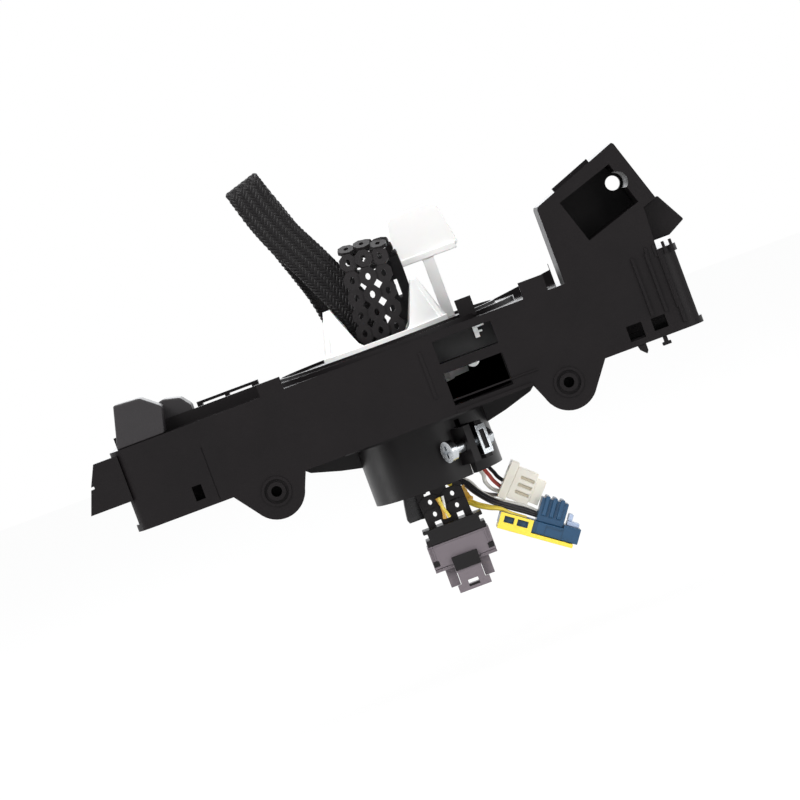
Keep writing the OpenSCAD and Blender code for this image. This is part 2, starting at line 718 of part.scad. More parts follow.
module switch_plug() {
    half = plug_w / 2 + 0.4;
    z1 = plug_top - cap_h;
    z0 = z1 - plug_h;
    color("#55505a") difference() {
        union() {
            plug_block(half, -plug_d / 2, plug_d / 2, z0, z1);
            for (side = [-1, 1]) block([plug_x + side * 6.2 - 1.7, plug_y - 3, z0 - 6.6],
                [plug_x + side * 6.2 + 1.7, plug_y + 3.6, z0 + over]);
        }
        // Groove round the body and the side slots
        difference() {
            plug_block(half + over, -plug_d / 2 - over, plug_d / 2 + over, z0 + 0.7, z0 + 1.2);
            plug_block(half - 0.4, -plug_d / 2 + 0.4, plug_d / 2 - 0.4, z0, z1);
        }
        for (side = [-1, 1]) block([plug_x + side * (half - 0.6) - 1.2, plug_y - plug_d / 2 - over, z0 + 2.3],
            [plug_x + side * (half - 0.6) + 1.2, plug_y - plug_d / 2 + 1.6, z0 + 4]);
        // Terminal cavities in the mating face
        for (i = [-3:3]) block([plug_x + i * 2.6 - 0.7, plug_y + 3.8, z0 - over], [plug_x + i * 2.6 + 0.7, plug_y + 5, z0 + 5]);
    }
}

module switch_plug_latch() {
    z0 = plug_top - cap_h - plug_h;
    color("#5d5862") difference() {
        union() {
            plug_block(4.6, -plug_d / 2 - 1.4, -plug_d / 2, z0 - 2, z0 + 2);
            plug_block(4.3, -plug_d / 2 - 1.4, -plug_d / 2 + 2, z0 - 9, z0);
            plug_block(5.7, -plug_d / 2 - 1.4, -plug_d / 2 + 0.4, z0 - 9, z0 - 6.4);
        }
        plug_block(1.8, -plug_d / 2 - 3, -plug_d / 2 + 3, z0 - 7, z0 - 5.6);
    }
}

// Ivory plug, X of its frame along its length

module at_ivory() {
    translate(ivory_at) rotate([0, ivory_tilt, 0]) children();
}

module ivory_plug_cover() {
    half = ivory_w / 2;
    color("#e4dccb") at_ivory() difference() {
        block([0, -ivory_d / 2, -half], [3, ivory_d / 2, half]);
        for (z = [-3.4, 3.4]) block([-over, -1.6, z - 1.4], [1.8, 1.6, z + 1.4]);
    }
}

module ivory_plug() {
    half = ivory_w / 2;
    color("#f2edde") at_ivory() difference() {
        union() {
            block([3, -ivory_d / 2, -half + 1], [ivory_len - 3.4, ivory_d / 2, half - 1]);
            block([3, -ivory_d / 2 + 0.8, -half + 2.4], [ivory_len, ivory_d / 2 - 0.8, half - 2.4]);
        }
        for (z = [-2.6, 0, 2.6]) block([5, -ivory_d / 2 - over, z - 0.5], [10, -ivory_d / 2 + 0.9, z + 0.5]);
        for (z = [-2.4, 0, 2.4]) block([ivory_len - 5, -1.4, z - 0.8], [ivory_len + over, 1.4, z + 0.8]);
    }
}

// Blue airbag plug, X of its frame along its arm and Z out of its flat face

module at_squib() {
    translate(squib_at) rotate([0, squib_tilt, 0]) children();
}

module squib_plug() {
    color("#2f5f8c") at_squib() difference() {
        union() {
            block([0, -squib_d / 2, -squib_t / 2], [squib_len, squib_d / 2, squib_t / 2]);
            block([squib_len - 6, -squib_d / 2, squib_t / 2 - over], [squib_len, squib_d / 2, squib_t / 2 + 1.2]);
        }
        block([2, -squib_d / 2 - over, -0.9], [9.6, -squib_d / 2 + 0.8, 0.9]);
        block([-over, -1.6, squib_t / 2 - 1.2], [10, 1.6, squib_t / 2 + over]);
    }
}

module squib_barrel() {
    s0 = squib_len - 15.6;
    height = 8.4;
    color("#2a5a86") at_squib() translate([0, 0, squib_t / 2]) {
        block([s0, -4, 0], [s0 + 9.4, 4, height]);
        for (s = [s0 + 1.2, s0 + 3.8, s0 + 6.4]) block([s, -5, 2.4], [s + 1.4, 5, height + 0.8]);
    }
}

module squib_lock() {
    low = -squib_t / 2 - lock_gap;
    front = -squib_d / 2 - lock_gap;
    color("#efd22f") at_squib() {
        block([0, front - 1, low - 1.4], [squib_len - 1.4, squib_d / 2 - 2, low]);
        difference() {
            block([0, front - 1, low - 1.4], [11.6, front, squib_t / 2]);
            block([1.6, front - 2, -1.1], [5, front + 1, 1.1]);
            block([6.2, front - 2, -1.1], [10, front + 1, 1.1]);
        }
    }
}

switch_carrier();
column_collar();
clamp_screw();
clip_nut();
drum_cover();
right_tower();
tower_hook();
left_hood();
skirt_clips();
ribbon_cable();
stator_terminal();
rear_socket();
contact_pins();
rotor_hub();
rotor_disc();
sleeve_outlets();
rotor_terminal();
cancel_ring();
transport_lock();
braided_sleeve();
perforated_sleeve();
sleeve_tail();
squib_wires();
signal_wires();
switch_plug();
switch_plug_cap();
switch_plug_latch();
ivory_plug();
ivory_plug_cover();
squib_plug();
squib_barrel();
squib_lock();
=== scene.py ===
"""Airbag clock spring in its column switch carrier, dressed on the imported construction.

The construction is loaded as a fixed frame and every piece here rides on one of its bodies. The classes hold
their sizes in millimetres, in the construction's own frame: origin on the column axis at the lower rim of the
clamp collar, +Z towards the steering wheel, and -Y towards the camera. MeshMaker turns them to metres.
"""
import logging
import math
from dataclasses import dataclass, field
from enum import Enum

import bmesh
import bpy
from mathutils import Matrix, Vector


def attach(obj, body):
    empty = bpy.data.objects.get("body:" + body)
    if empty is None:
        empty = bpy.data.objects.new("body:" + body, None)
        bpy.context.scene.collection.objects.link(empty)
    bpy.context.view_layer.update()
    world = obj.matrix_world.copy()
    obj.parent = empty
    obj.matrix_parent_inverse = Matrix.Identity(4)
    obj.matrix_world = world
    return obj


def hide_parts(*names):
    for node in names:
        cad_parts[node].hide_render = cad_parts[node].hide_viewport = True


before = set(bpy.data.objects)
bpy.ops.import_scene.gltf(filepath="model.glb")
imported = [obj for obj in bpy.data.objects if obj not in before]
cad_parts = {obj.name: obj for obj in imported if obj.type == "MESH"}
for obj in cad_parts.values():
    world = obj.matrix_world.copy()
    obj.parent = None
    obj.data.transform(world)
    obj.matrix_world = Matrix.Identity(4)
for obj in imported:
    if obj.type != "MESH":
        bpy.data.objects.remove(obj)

log = logging.getLogger("clock_spring")

MM = 0.001
Point = tuple[float, float, float]
Outline = list[tuple[float, float]]


class Body(str, Enum):
    """Bodies of the construction that a piece can ride on."""

    CARRIER = "carrier"
    ROTOR = "rotor"
    PULL_TAB = "pull_tab"
    PLUG_LOCK = "airbag_plug_lock"


# Materials


def linear(hex_colour: str) -> tuple[float, float, float, float]:
    """Turn an sRGB hex colour to the linear colour that the shaders take.

    Args:
        hex_colour: Six hex digits, with or without a leading hash.

    Returns:
        Red, green, blue and an alpha of one.
    """
    digits = hex_colour.lstrip("#")
    shares = [int(digits[i : i + 2], 16) / 255 for i in (0, 2, 4)]
    knee, slope, offset, power = 0.04045, 12.92, 0.055, 2.4
    red, green, blue = (c / slope if c <= knee else ((c + offset) / (1 + offset)) ** power for c in shares)
    return red, green, blue, 1.0


def add_node(
    tree: bpy.types.NodeTree,
    kind: str,
    values: dict[str | int, object] | None = None,
    links: dict[str | int, bpy.types.NodeSocket] | None = None,
    **settings: object,
) -> bpy.types.Node:
    """Add one node with its settings, socket values and incoming links.

    Args:
        tree: Tree that takes the node.
        kind: Blender's type name of the node.
        values: Default values by input name or index.
        links: Sockets of other nodes by input name or index.
        **settings: Properties of the node itself.

    Returns:
        The new node.
    """
    node = tree.nodes.new(kind)
    for name, value in settings.items():
        setattr(node, name, value)
    for key, value in (values or {}).items():
        node.inputs[key].default_value = value
    for key, socket in (links or {}).items():
        tree.links.new(socket, node.inputs[key])
    return node


@dataclass(frozen=True)
class Finish:
    """A finish on Object coordinates: two close colours, a grain and a slight unevenness of the gloss.

    Attributes:
        name: The real material and how it was made.
        colour: Main colour, sRGB hex.
        shade: Colour of the faint clouds in it, sRGB hex.
        roughness: Roughness in the middle of its range.
        grain_mm: Size of the surface grain.
        grain_depth_mm: Height of the grain.
        cloud_mm: Size of the clouds of colour and gloss.
        metallic: One for bare metal.
        ior: Index of refraction; a metal keeps the default.
        coat: Weight of a clear gloss layer.
        sheen: Weight of the sheen of fibres.
        subsurface: Weight of light that passes through the surface.
        top_roughness: Roughness of faces that look up, which the mould left smoother, or minus one.
    """

    name: str
    colour: str
    shade: str
    roughness: float
    grain_mm: float = 0.5
    grain_depth_mm: float = 0.02
    cloud_mm: float = 14.0
    metallic: float = 0.0
    ior: float = 1.5
    coat: float = 0.0
    sheen: float = 0.0
    subsurface: float = 0.0
    top_roughness: float = -1.0

    def material(self) -> bpy.types.Material:
        """Make the material of this finish on first use, and find it again after that.

        Returns:
            The material, under the name of the finish.
        """
        known = bpy.data.materials.get(self.name)
        if known is not None:
            return known
        material = bpy.data.materials.new(self.name)
        material.use_nodes = True
        tree = material.node_tree
        shader = tree.nodes["Principled BSDF"]
        self._set_shader(shader)
        place = add_node(tree, "ShaderNodeTexCoord").outputs["Object"]
        clouds = self._noise(tree, place, self.cloud_mm, detail=3.0)
        colours = add_node(
            tree,
            "ShaderNodeMix",
            {6: linear(self.colour), 7: linear(self.shade)},
            {0: clouds.outputs["Fac"]},
            data_type="RGBA",
        )
        tree.links.new(colours.outputs[2], shader.inputs["Base Color"])
        least, most = 0.82, 1.2
        gloss = add_node(
            tree,
            "ShaderNodeMapRange",
            {"To Min": self.roughness * least, "To Max": min(1.0, self.roughness * most)},
            {"Value": self._noise(tree, place, self.cloud_mm / 3, detail=4.0).outputs["Fac"]},
        )
        roughness = gloss.outputs["Result"]
        if self.top_roughness >= 0:
            roughness = self._smoother_top(tree, roughness)
        tree.links.new(roughness, shader.inputs["Roughness"])
        grain = self._noise(tree, place, self.grain_mm, detail=2.0)
        bump = add_node(
            tree,
            "ShaderNodeBump",
            {"Distance": self.grain_depth_mm * MM, "Strength": 1.0},
            {"Height": grain.outputs["Fac"]},
        )
        tree.links.new(bump.outputs["Normal"], shader.inputs["Normal"])
        return material

    def _smoother_top(self, tree: bpy.types.NodeTree, roughness: bpy.types.NodeSocket) -> bpy.types.NodeSocket:
        """Blend to the roughness of the top where the object's own normal looks up.

        Args:
            tree: Tree of the material.
            roughness: Socket with the roughness of all other faces.

        Returns:
            The blended socket.
        """
        normal = add_node(tree, "ShaderNodeTexCoord").outputs["Normal"]
        up = add_node(tree, "ShaderNodeSeparateXYZ", None, {0: normal}).outputs["Z"]
        share = add_node(tree, "ShaderNodeMapRange", {"From Min": 0.35, "From Max": 0.9}, {"Value": up})
        return add_node(
            tree,
            "ShaderNodeMix",
            {3: self.top_roughness},
            {0: share.outputs["Result"], 2: roughness},
            data_type="FLOAT",
        ).outputs[0]

    def _set_shader(self, shader: bpy.types.Node) -> None:
        """Set the numbers that are the same all over the surface on the shader itself.

        Args:
            shader: The material's main shader.
        """
        for socket, value in {
            "Metallic": self.metallic,
            "IOR": self.ior,
            "Coat Weight": self.coat,
            "Sheen Weight": self.sheen,
            "Subsurface Weight": self.subsurface,
            "Subsurface Scale": 2 * MM,
        }.items():
            shader.inputs[socket].default_value = value

    @staticmethod
    def _noise(
        tree: bpy.types.NodeTree, place: bpy.types.NodeSocket, size_mm: float, detail: float
    ) -> bpy.types.Node:
        """Add a noise whose lumps are size_mm across.

        Args:
            tree: Tree of the material.
            place: Socket with the coordinates.
            size_mm: Size of a lump.
            detail: Octaves of finer noise.

        Returns:
            The noise node.
        """
        return add_node(
            tree, "ShaderNodeTexNoise", {"Scale": 1 / (size_mm * MM), "Detail": detail}, {"Vector": place}
        )


# Glass filled nylon, injection moulded and spark eroded: near black, satin, with a fine even grain.
NYLON = Finish(
    "Nylon glass filled moulded", "#121011", "#181516", 0.42, 0.32, 0.025, ior=1.22, top_roughness=0.14
)
# The same nylon on faces that the mould left a shade smoother, such as the collar.
NYLON_SMOOTH = Finish("Nylon moulded smooth", "#100e0f", "#151314", 0.34, 0.4, 0.012, ior=1.3)
# The nylon of the latch hood, a little duller; its greyer colour is painted reflection, the light sheen on
# black nylon.
NYLON_DULL_PAINTED_REFLECTION = Finish("Nylon moulded dull painted reflection", "#1c191b", "#242123", 0.5, 0.3, 0.03, ior=1.42, top_roughness=0.2)
# Nylon darkened as painted shade, for the inside of the windows where no light reaches.
NYLON_PAINTED_SHADE = Finish("Nylon moulded painted shade", "#0c0b0c", "#121112", 0.6, 0.3, 0.03)
# Acetal, moulded white: clean, slightly see-through at its edges, low gloss.
ACETAL = Finish("Acetal moulded white", "#f1f1ef", "#e9e9e8", 0.34, 0.8, 0.008, subsurface=0.08, ior=1.48)
# Zinc plated steel: bright, cool, with a faint crystalline bloom.
ZINC = Finish("Steel zinc plated", "#d3d6d8", "#bfc4c9", 0.22, 0.25, 0.012, 2.5, metallic=1.0)
# Brass contact pins, stamped.
PIN_BRASS = Finish("Brass stamped pins", "#c9a85c", "#b8924a", 0.3, 0.2, 0.01, 2.0, metallic=1.0)
# Polyester film over copper tracks.
RIBBON_FILM = Finish("Polyester film laminated", "#b9763a", "#a5642c", 0.25, 1.2, 0.006, coat=0.4)
# Polyester monofilament, braided: black with a hard glint along each strand.
BRAID_FIBRE = Finish(
    "Polyester monofilament braided", "#0e0c0d", "#151314", 0.36, 0.18, 0.03, ior=1.28, sheen=0.02
)
# Moulded flexible chain sleeve: dull dark grey polyolefin with soft mould edges.
CHAIN_RUBBER = Finish("Polyolefin chain sleeve moulded", "#181617", "#201d1e", 0.46, 0.3, 0.03, 5.0, ior=1.28)
# Cloth harness tape, black and slightly fuzzy.
CLOTH_TAPE = Finish(
    "Harness cloth tape woven", "#121113", "#1c1a1d", 0.7, 0.25, 0.05, 4.0, ior=1.36, sheen=0.08
)
# Grey polybutylene plug: warm mauve grey, satin.
PLUG_GREY = Finish("Polybutylene moulded grey", "#6f666b", "#625a60", 0.42, 0.3, 0.015)
# Black polybutylene cap of the same plug.
PLUG_BLACK = Finish("Polybutylene moulded black", "#0f0d0e", "#161415", 0.42, 0.3, 0.02, ior=1.34)
# Ivory polybutylene plug: warm off-white, satin.
PLUG_IVORY = Finish("Polybutylene moulded ivory", "#fbf7ec", "#f4eee0", 0.38, 0.5, 0.01, subsurface=0.05)
# The same ivory darkened as painted shade, for its recesses.
PLUG_IVORY_PAINTED_SHADE = Finish("Polybutylene moulded ivory shaded", "#cfc6b2", "#c4baa4", 0.5, 0.5, 0.01)
# Blue airbag plug, deep steel blue.
PLUG_BLUE = Finish("Polybutylene moulded blue", "#1f4a6c", "#193f5e", 0.38, 0.4, 0.015)
# The same blue darkened as painted shade, for its recesses.
PLUG_BLUE_PAINTED_SHADE = Finish("Polybutylene moulded blue shaded", "#17405f", "#123650", 0.5, 0.4, 0.015)
# Pale blue latch on its end.
LATCH_PALE = Finish("Polybutylene moulded pale blue", "#a9b7cf", "#9aa9c4", 0.36, 0.4, 0.01)
# Yellow lock of the airbag plug.
LOCK_YELLOW = Finish("Polybutylene moulded yellow", "#f0d84c", "#e4c93a", 0.38, 0.4, 0.01)


def insulation(name: str, colour: str, shade: str, roughness: float = 0.32) -> Finish:
    """Return the finish of extruded PVC insulation, smooth with a long soft gloss."""
    return Finish(f"PVC insulation {name}", colour, shade, roughness, 0.6, 0.008, 3.0)


WIRE_YELLOW = insulation("yellow", "#ecd352", "#dfc33f")
WIRE_BLACK = insulation("black", "#201f22", "#2b292d")
WIRE_WHITE = insulation("white", "#eceae4", "#deddd6")
WIRE_GREY = insulation("grey", "#8d8783", "#7c7672", 0.34)
WIRE_RED = insulation("red", "#c4574c", "#b3453c")
# Heat shrunk sleeve, black and glossy.
SHRINK_BLACK = Finish("Polyolefin heat shrunk black", "#161517", "#1f1d20", 0.28, 0.6, 0.01, 3.0)
# Ochre adhesive tape round the ends of the wires.
TAPE_OCHRE = Finish("Polyester tape ochre", "#d3a43a", "#bd8b2a", 0.4, 0.7, 0.03, 2.5)


# Geometry helpers


def put_in_scene(name: str, data: bpy.types.ID) -> bpy.types.Object:
    """Make an object at the origin and link it to the scene.

    Args:
        name: Name of the object.
        data: Its mesh, camera or lamp.

    Returns:
        The object.
    """
    made = bpy.data.objects.new(name, data)
    bpy.context.scene.collection.objects.link(made)
    return made


class MeshMaker:
    """Collects closed solids in millimetres and turns them into one object in metres.

    Attributes:
        mesh: The solids so far.
    """

    def __init__(self) -> None:
        """Start with an empty mesh."""
        self.mesh = bmesh.new()

    def loft(self, rings: list[list[Vector]]) -> "MeshMaker":
        """Join rings of equal length by quads and cap the two ends.

        Args:
            rings: Rings of points, all with the same number of points.

        Returns:
            This maker.
        """
        rows = [[self.mesh.verts.new(p) for p in ring] for ring in rings]
        sides = len(rings[0])
        for near, far in zip(rows, rows[1:]):
            for k in range(sides):
                self.mesh.faces.new((near[k], near[(k + 1) % sides], far[(k + 1) % sides], far[k]))
        self.mesh.faces.new(list(reversed(rows[0])))
        self.mesh.faces.new(rows[-1])
        return self

    def box(self, low: Point, high: Point) -> "MeshMaker":
        """Add a block between two opposite corners.

        Args:
            low: Corner with the smallest coordinates.
            high: Corner with the largest.

        Returns:
            This maker.
        """
        (x0, y0, z0), (x1, y1, z1) = low, high
        corners = [(x0, y0), (x1, y0), (x1, y1), (x0, y1)]
        return self.loft([[Vector((x, y, z)) for x, y in corners] for z in (z0, z1)])

    def upright(self, outline: Outline, y0: float, y1: float) -> "MeshMaker":
        """Add an outline drawn in X and Z, thick from y0 to y1."""
        return self.loft([[Vector((x, y, z)) for x, z in outline] for y in (y0, y1)])

    def turned_solid(self, profile: Outline, origin: Point, axis: Point, sides: int = 32) -> "MeshMaker":
        """Add a turned solid.

        Args:
            profile: Radius and height pairs along the axis.
            origin: Point where the height is zero.
            axis: Direction of the height.
            sides: Flats round the circle.

        Returns:
            This maker.
        """
        z_axis = Vector(axis).normalized()
        x_axis = z_axis.orthogonal().normalized()
        y_axis = z_axis.cross(x_axis)
        rings = []
        for radius, height in profile:
            centre = Vector(origin) + z_axis * height
            turn = [2 * math.pi * k / sides for k in range(sides)]
            rings.append([centre + (x_axis * math.cos(a) + y_axis * math.sin(a)) * radius for a in turn])
        return self.loft(rings)

    def tube(self, points: list[Vector], radius: float, sides: int) -> "MeshMaker":
        """Add a round tube along a line of points.

        Args:
            points: Centres of its rings.
            radius: Half its thickness.
            sides: Flats round it.

        Returns:
            This maker.
        """
        rings = []
        side = None
        for i, point in enumerate(points):
            ahead = (points[min(i + 1, len(points) - 1)] - points[max(i - 1, 0)]).normalized()
            side = ahead.orthogonal() if side is None else side - ahead * side.dot(ahead)
            side.normalize()
            up = ahead.cross(side)
            turn = [2 * math.pi * k / sides for k in range(sides)]
            rings.append([point + (side * math.cos(a) + up * math.sin(a)) * radius for a in turn])
        return self.loft(rings)

    def turned(self, matrix: Matrix) -> "MeshMaker":
        """Move everything collected so far by a matrix in millimetres."""
        bmesh.ops.transform(self.mesh, matrix=matrix, verts=self.mesh.verts)
        return self

    def metres(self, name: str) -> bpy.types.Mesh:
        """Turn the solids into a mesh in metres with its faces outwards, and free the maker.

        Args:
            name: Name of the mesh.

        Returns:
            The mesh.
        """
        bmesh.ops.recalc_face_normals(self.mesh, faces=self.mesh.faces)
        bmesh.ops.scale(self.mesh, vec=(MM, MM, MM), verts=self.mesh.verts)
        data = bpy.data.meshes.new(name)
        self.mesh.to_mesh(data)
        self.mesh.free()
        return data

    def piece(self, name: str, finish: Finish, body: Body, round_mm: float = 0.0) -> bpy.types.Object:
        """Make the object, in metres, with its finish and body.

        Args:
            name: Name of the piece.
            finish: Its finish.
            body: Body it rides on.
            round_mm: Radius of its rounded edges, or zero.

        Returns:
            The new object.
        """
        data = self.metres(name)
        made = put_in_scene(name, data)
        data.materials.append(finish.material())
        round_edges(made, round_mm)
        shade(made)
        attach(made, body.value)
        log.info("%s: %d faces on %s", name, len(data.polygons), body.value)
        return made


def round_edges(made: bpy.types.Object, round_mm: float) -> None:
    """Give a piece small rounded edges where its faces meet at more than 30 degrees.

    Args:
        made: The piece.
        round_mm: Radius of the edges, or zero for none.
    """
    if round_mm <= 0:
        return
    bevel = made.modifiers.new("Rounded edges", "BEVEL")
    bevel.width = round_mm * MM
    bevel.segments = 2
    bevel.limit_method = "ANGLE"
    bevel.angle_limit = math.radians(30)
    bevel.use_clamp_overlap = True
    bevel.harden_normals = True


def shade(made: bpy.types.Object) -> None:
    """Shade the faces smooth, with sharp edges above 35 degrees.

    Args:
        made: The piece, before its modifiers.
    """
    made.data.shade_smooth()
    sharp = math.radians(35)
    mesh = bmesh.new()
    mesh.from_mesh(made.data)
    for edge in mesh.edges:
        edge.smooth = not (len(edge.link_faces) == 2 and edge.calc_face_angle(0) > sharp)
    mesh.to_mesh(made.data)
    mesh.free()


def dressed_copy(
    node: str, finish: Finish, body: Body, round_mm: float, cut: MeshMaker | None = None
) -> bpy.types.Object:
    """Copy a node, merge its loose triangles, round its edges and let the copy stand for the node.

    Args:
        node: Name of the node.
        finish: Finish of the copy.
        body: Body the node rides on.
        round_mm: Radius of the rounded edges.
        cut: Solids that are carved out of the copy, in millimetres.

    Returns:
        The copy.
    """
    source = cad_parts[node]
    mesh = bmesh.new()
    mesh.from_mesh(source.data)
    bmesh.ops.remove_doubles(mesh, verts=mesh.verts, dist=0.002 * MM)
    bmesh.ops.dissolve_limit(
        mesh, angle_limit=math.radians(1), verts=mesh.verts, edges=mesh.edges, use_dissolve_boundaries=False
    )
    data = bpy.data.meshes.new(f"{node}_dressed")
    mesh.to_mesh(data)
    mesh.free()
    made = put_in_scene(f"{node}_dressed", data)
    if cut is not None:
        data = carve(made, cut)
    data.materials.append(finish.material())
    round_edges(made, round_mm)
    shade(made)
    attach(made, body.value)
    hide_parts(node)
    log.info("%s dressed: %d faces", node, len(data.polygons))
    return made


def carve(made: bpy.types.Object, cut: MeshMaker) -> bpy.types.Mesh:
    """Cut solids out of an object and give it the new mesh.

    Args:
        made: Object that is carved.
        cut: The solids, in millimetres.

    Returns:
        Its new mesh.
    """
    tool = put_in_scene("cutter", cut.metres("cutter"))
    modifier = made.modifiers.new("Carve", "BOOLEAN")
    modifier.operation = "DIFFERENCE"
    modifier.solver = "EXACT"
    modifier.object = tool
    shown = made.evaluated_get(bpy.context.evaluated_depsgraph_get())
    made.data = bpy.data.meshes.new_from_object(shown)
    made.modifiers.remove(modifier)
    bpy.data.objects.remove(tool)
    return made.data


def ledge_cuts() -> MeshMaker:
    """Collect the solids that free the thin ledge on its posts and slope the ramp, on top of the housing.

    Returns:
        The solids to cut away, in millimetres.
    """
    cut = MeshMaker()
    # Down to the thin plate of the ledge
    cut.box((-69.5, 5.0, 54.8), (-46.0, 16.0, 57.5))
    # The two gaps between its posts
    for left, right in ((-66.9, -58.7), (-57.1, -48.9)):
        cut.box((left, 5.0, 50.25), (right, 16.0, 53.8))
    # The slope of the ramp
    cut.upright([(45.0, 52.8), (61.4, 54.9), (61.4, 60.0), (45.0, 60.0)], 9.0, 16.0)
    return cut


def finish_node(node: str, finish: Finish) -> None:
    """Give a node of the construction its finish and keep its own shape.

    Args:
        node: Name of the node.
        finish: Its finish.
    """
    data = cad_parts[node].data
    data.materials.clear()
    data.materials.append(finish.material())


# Studio


@dataclass
class Camera:
    """The photograph's view: level with the housing, turned about its own axis, through a long lens.

    Attributes:
        target: Point at the middle of the frame.
        distance: Distance of the lens from that point.
        width: Width of the view there.
        elevation: Degrees above the horizon.
        roll: Degrees by which the object leans up to the right in the frame.
    """

    target: Point = (-2.8, -46.0, 33.3)
    distance: float = 1200.0
    width: float = 264.0
    elevation: float = 2.5
    roll: float = 20.5

    def build(self) -> bpy.types.Object:
        """Make the camera and hand it to the scene.

        Returns:
            The camera.
        """
        data = bpy.data.cameras.new("Camera")
        data.sensor_width = 36.0
        data.lens = data.sensor_width * self.distance / self.width
        data.clip_start = 0.05
        data.clip_end = 20.0
        tilt, turn = math.radians(self.elevation), math.radians(self.roll)
        back = Vector((0.0, -math.cos(tilt), math.sin(tilt)))
        right = Vector((1.0, 0.0, 0.0))
        up = back.cross(right)
        rolled_right = right * math.cos(turn) - up * math.sin(turn)
        rolled_up = right * math.sin(turn) + up * math.cos(turn)
        camera = put_in_scene("Camera", data)
        camera.matrix_world = Matrix.Translation(Vector(self.target) * MM + back * self.distance * MM) @ Matrix(
            (
                (rolled_right.x, rolled_up.x, back.x, 0),
                (rolled_right.y, rolled_up.y, back.y, 0),
                (rolled_right.z, rolled_up.z, back.z, 0),
                (0, 0, 0, 1),
            )
        )
        bpy.context.scene.camera = camera
        return camera


@dataclass
class Studio:
    """Pale floor, a world that is brighter behind the object, and four soft lamps.

    Attributes:
        floor_z: Height of the floor, under the lowest plug.
        floor_half: Half the width of the floor.
        floor_white: Share of plain white in what the camera sees of the floor; the rest keeps the shadow.
        world_strength: Light of the world in front of the object and behind it.
        world_turn: Y of the direction at which the light starts to rise, and at which it is full.
        aim: Point that the lamps face.
        lamps: Name, place, size and power in watts of each lamp.
    """

    floor_z: float = -60.0
    floor_half: float = 2500.0
    floor_white: float = 0.9
    world_strength: tuple[float, float] = (0.55, 1.7)
    world_turn: tuple[float, float] = (-0.2, 0.9)
    aim: Point = (0.0, 0.0, 35.0)
    lamps: list[tuple[str, Point, float, float]] = field(
        default_factory=lambda: [
            ("Key lamp", (-420.0, -760.0, 620.0), 520.0, 7.4),
            ("Fill lamp", (620.0, -700.0, 120.0), 620.0, 3.6),
            ("Top lamp", (60.0, 140.0, 820.0), 600.0, 4.6),
            ("Left lamp", (-900.0, 60.0, 90.0), 300.0, 1.4),
        ]
    )

    def build(self) -> None:
        """Make the floor, the world and the lamps."""
        self._floor()
        self._world()
        for name, place, size, power in self.lamps:
            data = bpy.data.lights.new(name, "AREA")
            data.size = size * MM
            data.energy = power
            lamp = put_in_scene(name, data)
            lamp.location = Vector(place) * MM
            lamp.rotation_euler = (Vector(self.aim) - Vector(place)).to_track_quat("-Z", "Y").to_euler()

    def _floor(self) -> None:
        """Make the floor, which the camera and reflections see as white."""
        data = bpy.data.meshes.new("Floor")
        half, level = self.floor_half * MM, self.floor_z * MM
        corners = [(-half, -half, level), (half, -half, level), (half, half, level), (-half, half, level)]
        data.from_pydata(corners, [], [(0, 1, 2, 3)])
        floor = put_in_scene("Floor", data)
        material = bpy.data.materials.new("Paper floor pale")
        material.use_nodes = True
        tree = material.node_tree
        shader = tree.nodes["Principled BSDF"]
        shader.inputs["Roughness"].default_value = 0.9
        place = add_node(tree, "ShaderNodeTexCoord").outputs["Object"]
        fibres = add_node(tree, "ShaderNodeTexNoise", {"Scale": 400.0, "Detail": 3.0}, {"Vector": place})
        paper = add_node(
            tree,
            "ShaderNodeMix",
            {6: linear("#f6f6f5"), 7: linear("#efefee")},
            {0: fibres.outputs["Fac"]},
            data_type="RGBA",
        )
        tree.links.new(paper.outputs[2], shader.inputs["Base Color"])
        path = add_node(tree, "ShaderNodeLightPath")
        seen = add_node(
            tree,
            "ShaderNodeMath",
            None,
            {0: path.outputs["Is Camera Ray"], 1: path.outputs["Is Glossy Ray"]},
            operation="MAXIMUM",
        )
        share = add_node(
            tree, "ShaderNodeMath", {1: self.floor_white}, {0: seen.outputs[0]}, operation="MULTIPLY"
        )
        white = add_node(tree, "ShaderNodeEmission", {"Strength": 1.0})
        mix = add_node(
            tree, "ShaderNodeMixShader", None, {0: share.outputs[0], 1: shader.outputs[0], 2: white.outputs[0]}
        )
        tree.links.new(mix.outputs[0], tree.nodes["Material Output"].inputs["Surface"])
        data.materials.append(material)

    def _world(self) -> None:
        """Make a world that lights the object softly and shows white to the camera and through clear parts."""
        world = bpy.data.worlds.new("Studio")
        bpy.context.scene.world = world
        world.use_nodes = True
        tree = world.node_tree
        tree.nodes.clear()
        path = add_node(tree, "ShaderNodeLightPath")
        seen = add_node(
            tree,
            "ShaderNodeMath",
            None,
            {0: path.outputs["Is Camera Ray"], 1: path.outputs["Is Transmission Ray"]},
            operation="MAXIMUM",
        )
        place = add_node(tree, "ShaderNodeTexCoord").outputs["Generated"]
        parts = add_node(tree, "ShaderNodeSeparateXYZ", None, {0: place})
        low, high = self.world_strength
        near, far = self.world_turn
        depth = add_node(
            tree,
            "ShaderNodeMapRange",
            {"From Min": near, "From Max": far, "To Min": low, "To Max": high},
            {"Value": parts.outputs["Y"]},
            interpolation_type="SMOOTHSTEP",
        )
        light = add_node(
            tree, "ShaderNodeBackground", {"Color": linear("#f4f5f7")}, {"Strength": depth.outputs["Result"]}
        )
        white = add_node(tree, "ShaderNodeBackground", {"Color": (1.0, 1.0, 1.0, 1.0), "Strength": 1.0})
        mix = add_node(
            tree, "ShaderNodeMixShader", None, {0: seen.outputs[0], 1: light.outputs[0], 2: white.outputs[0]}
        )
        add_node(tree, "ShaderNodeOutputWorld", None, {"Surface": mix.outputs[0]})


# Construction nodes


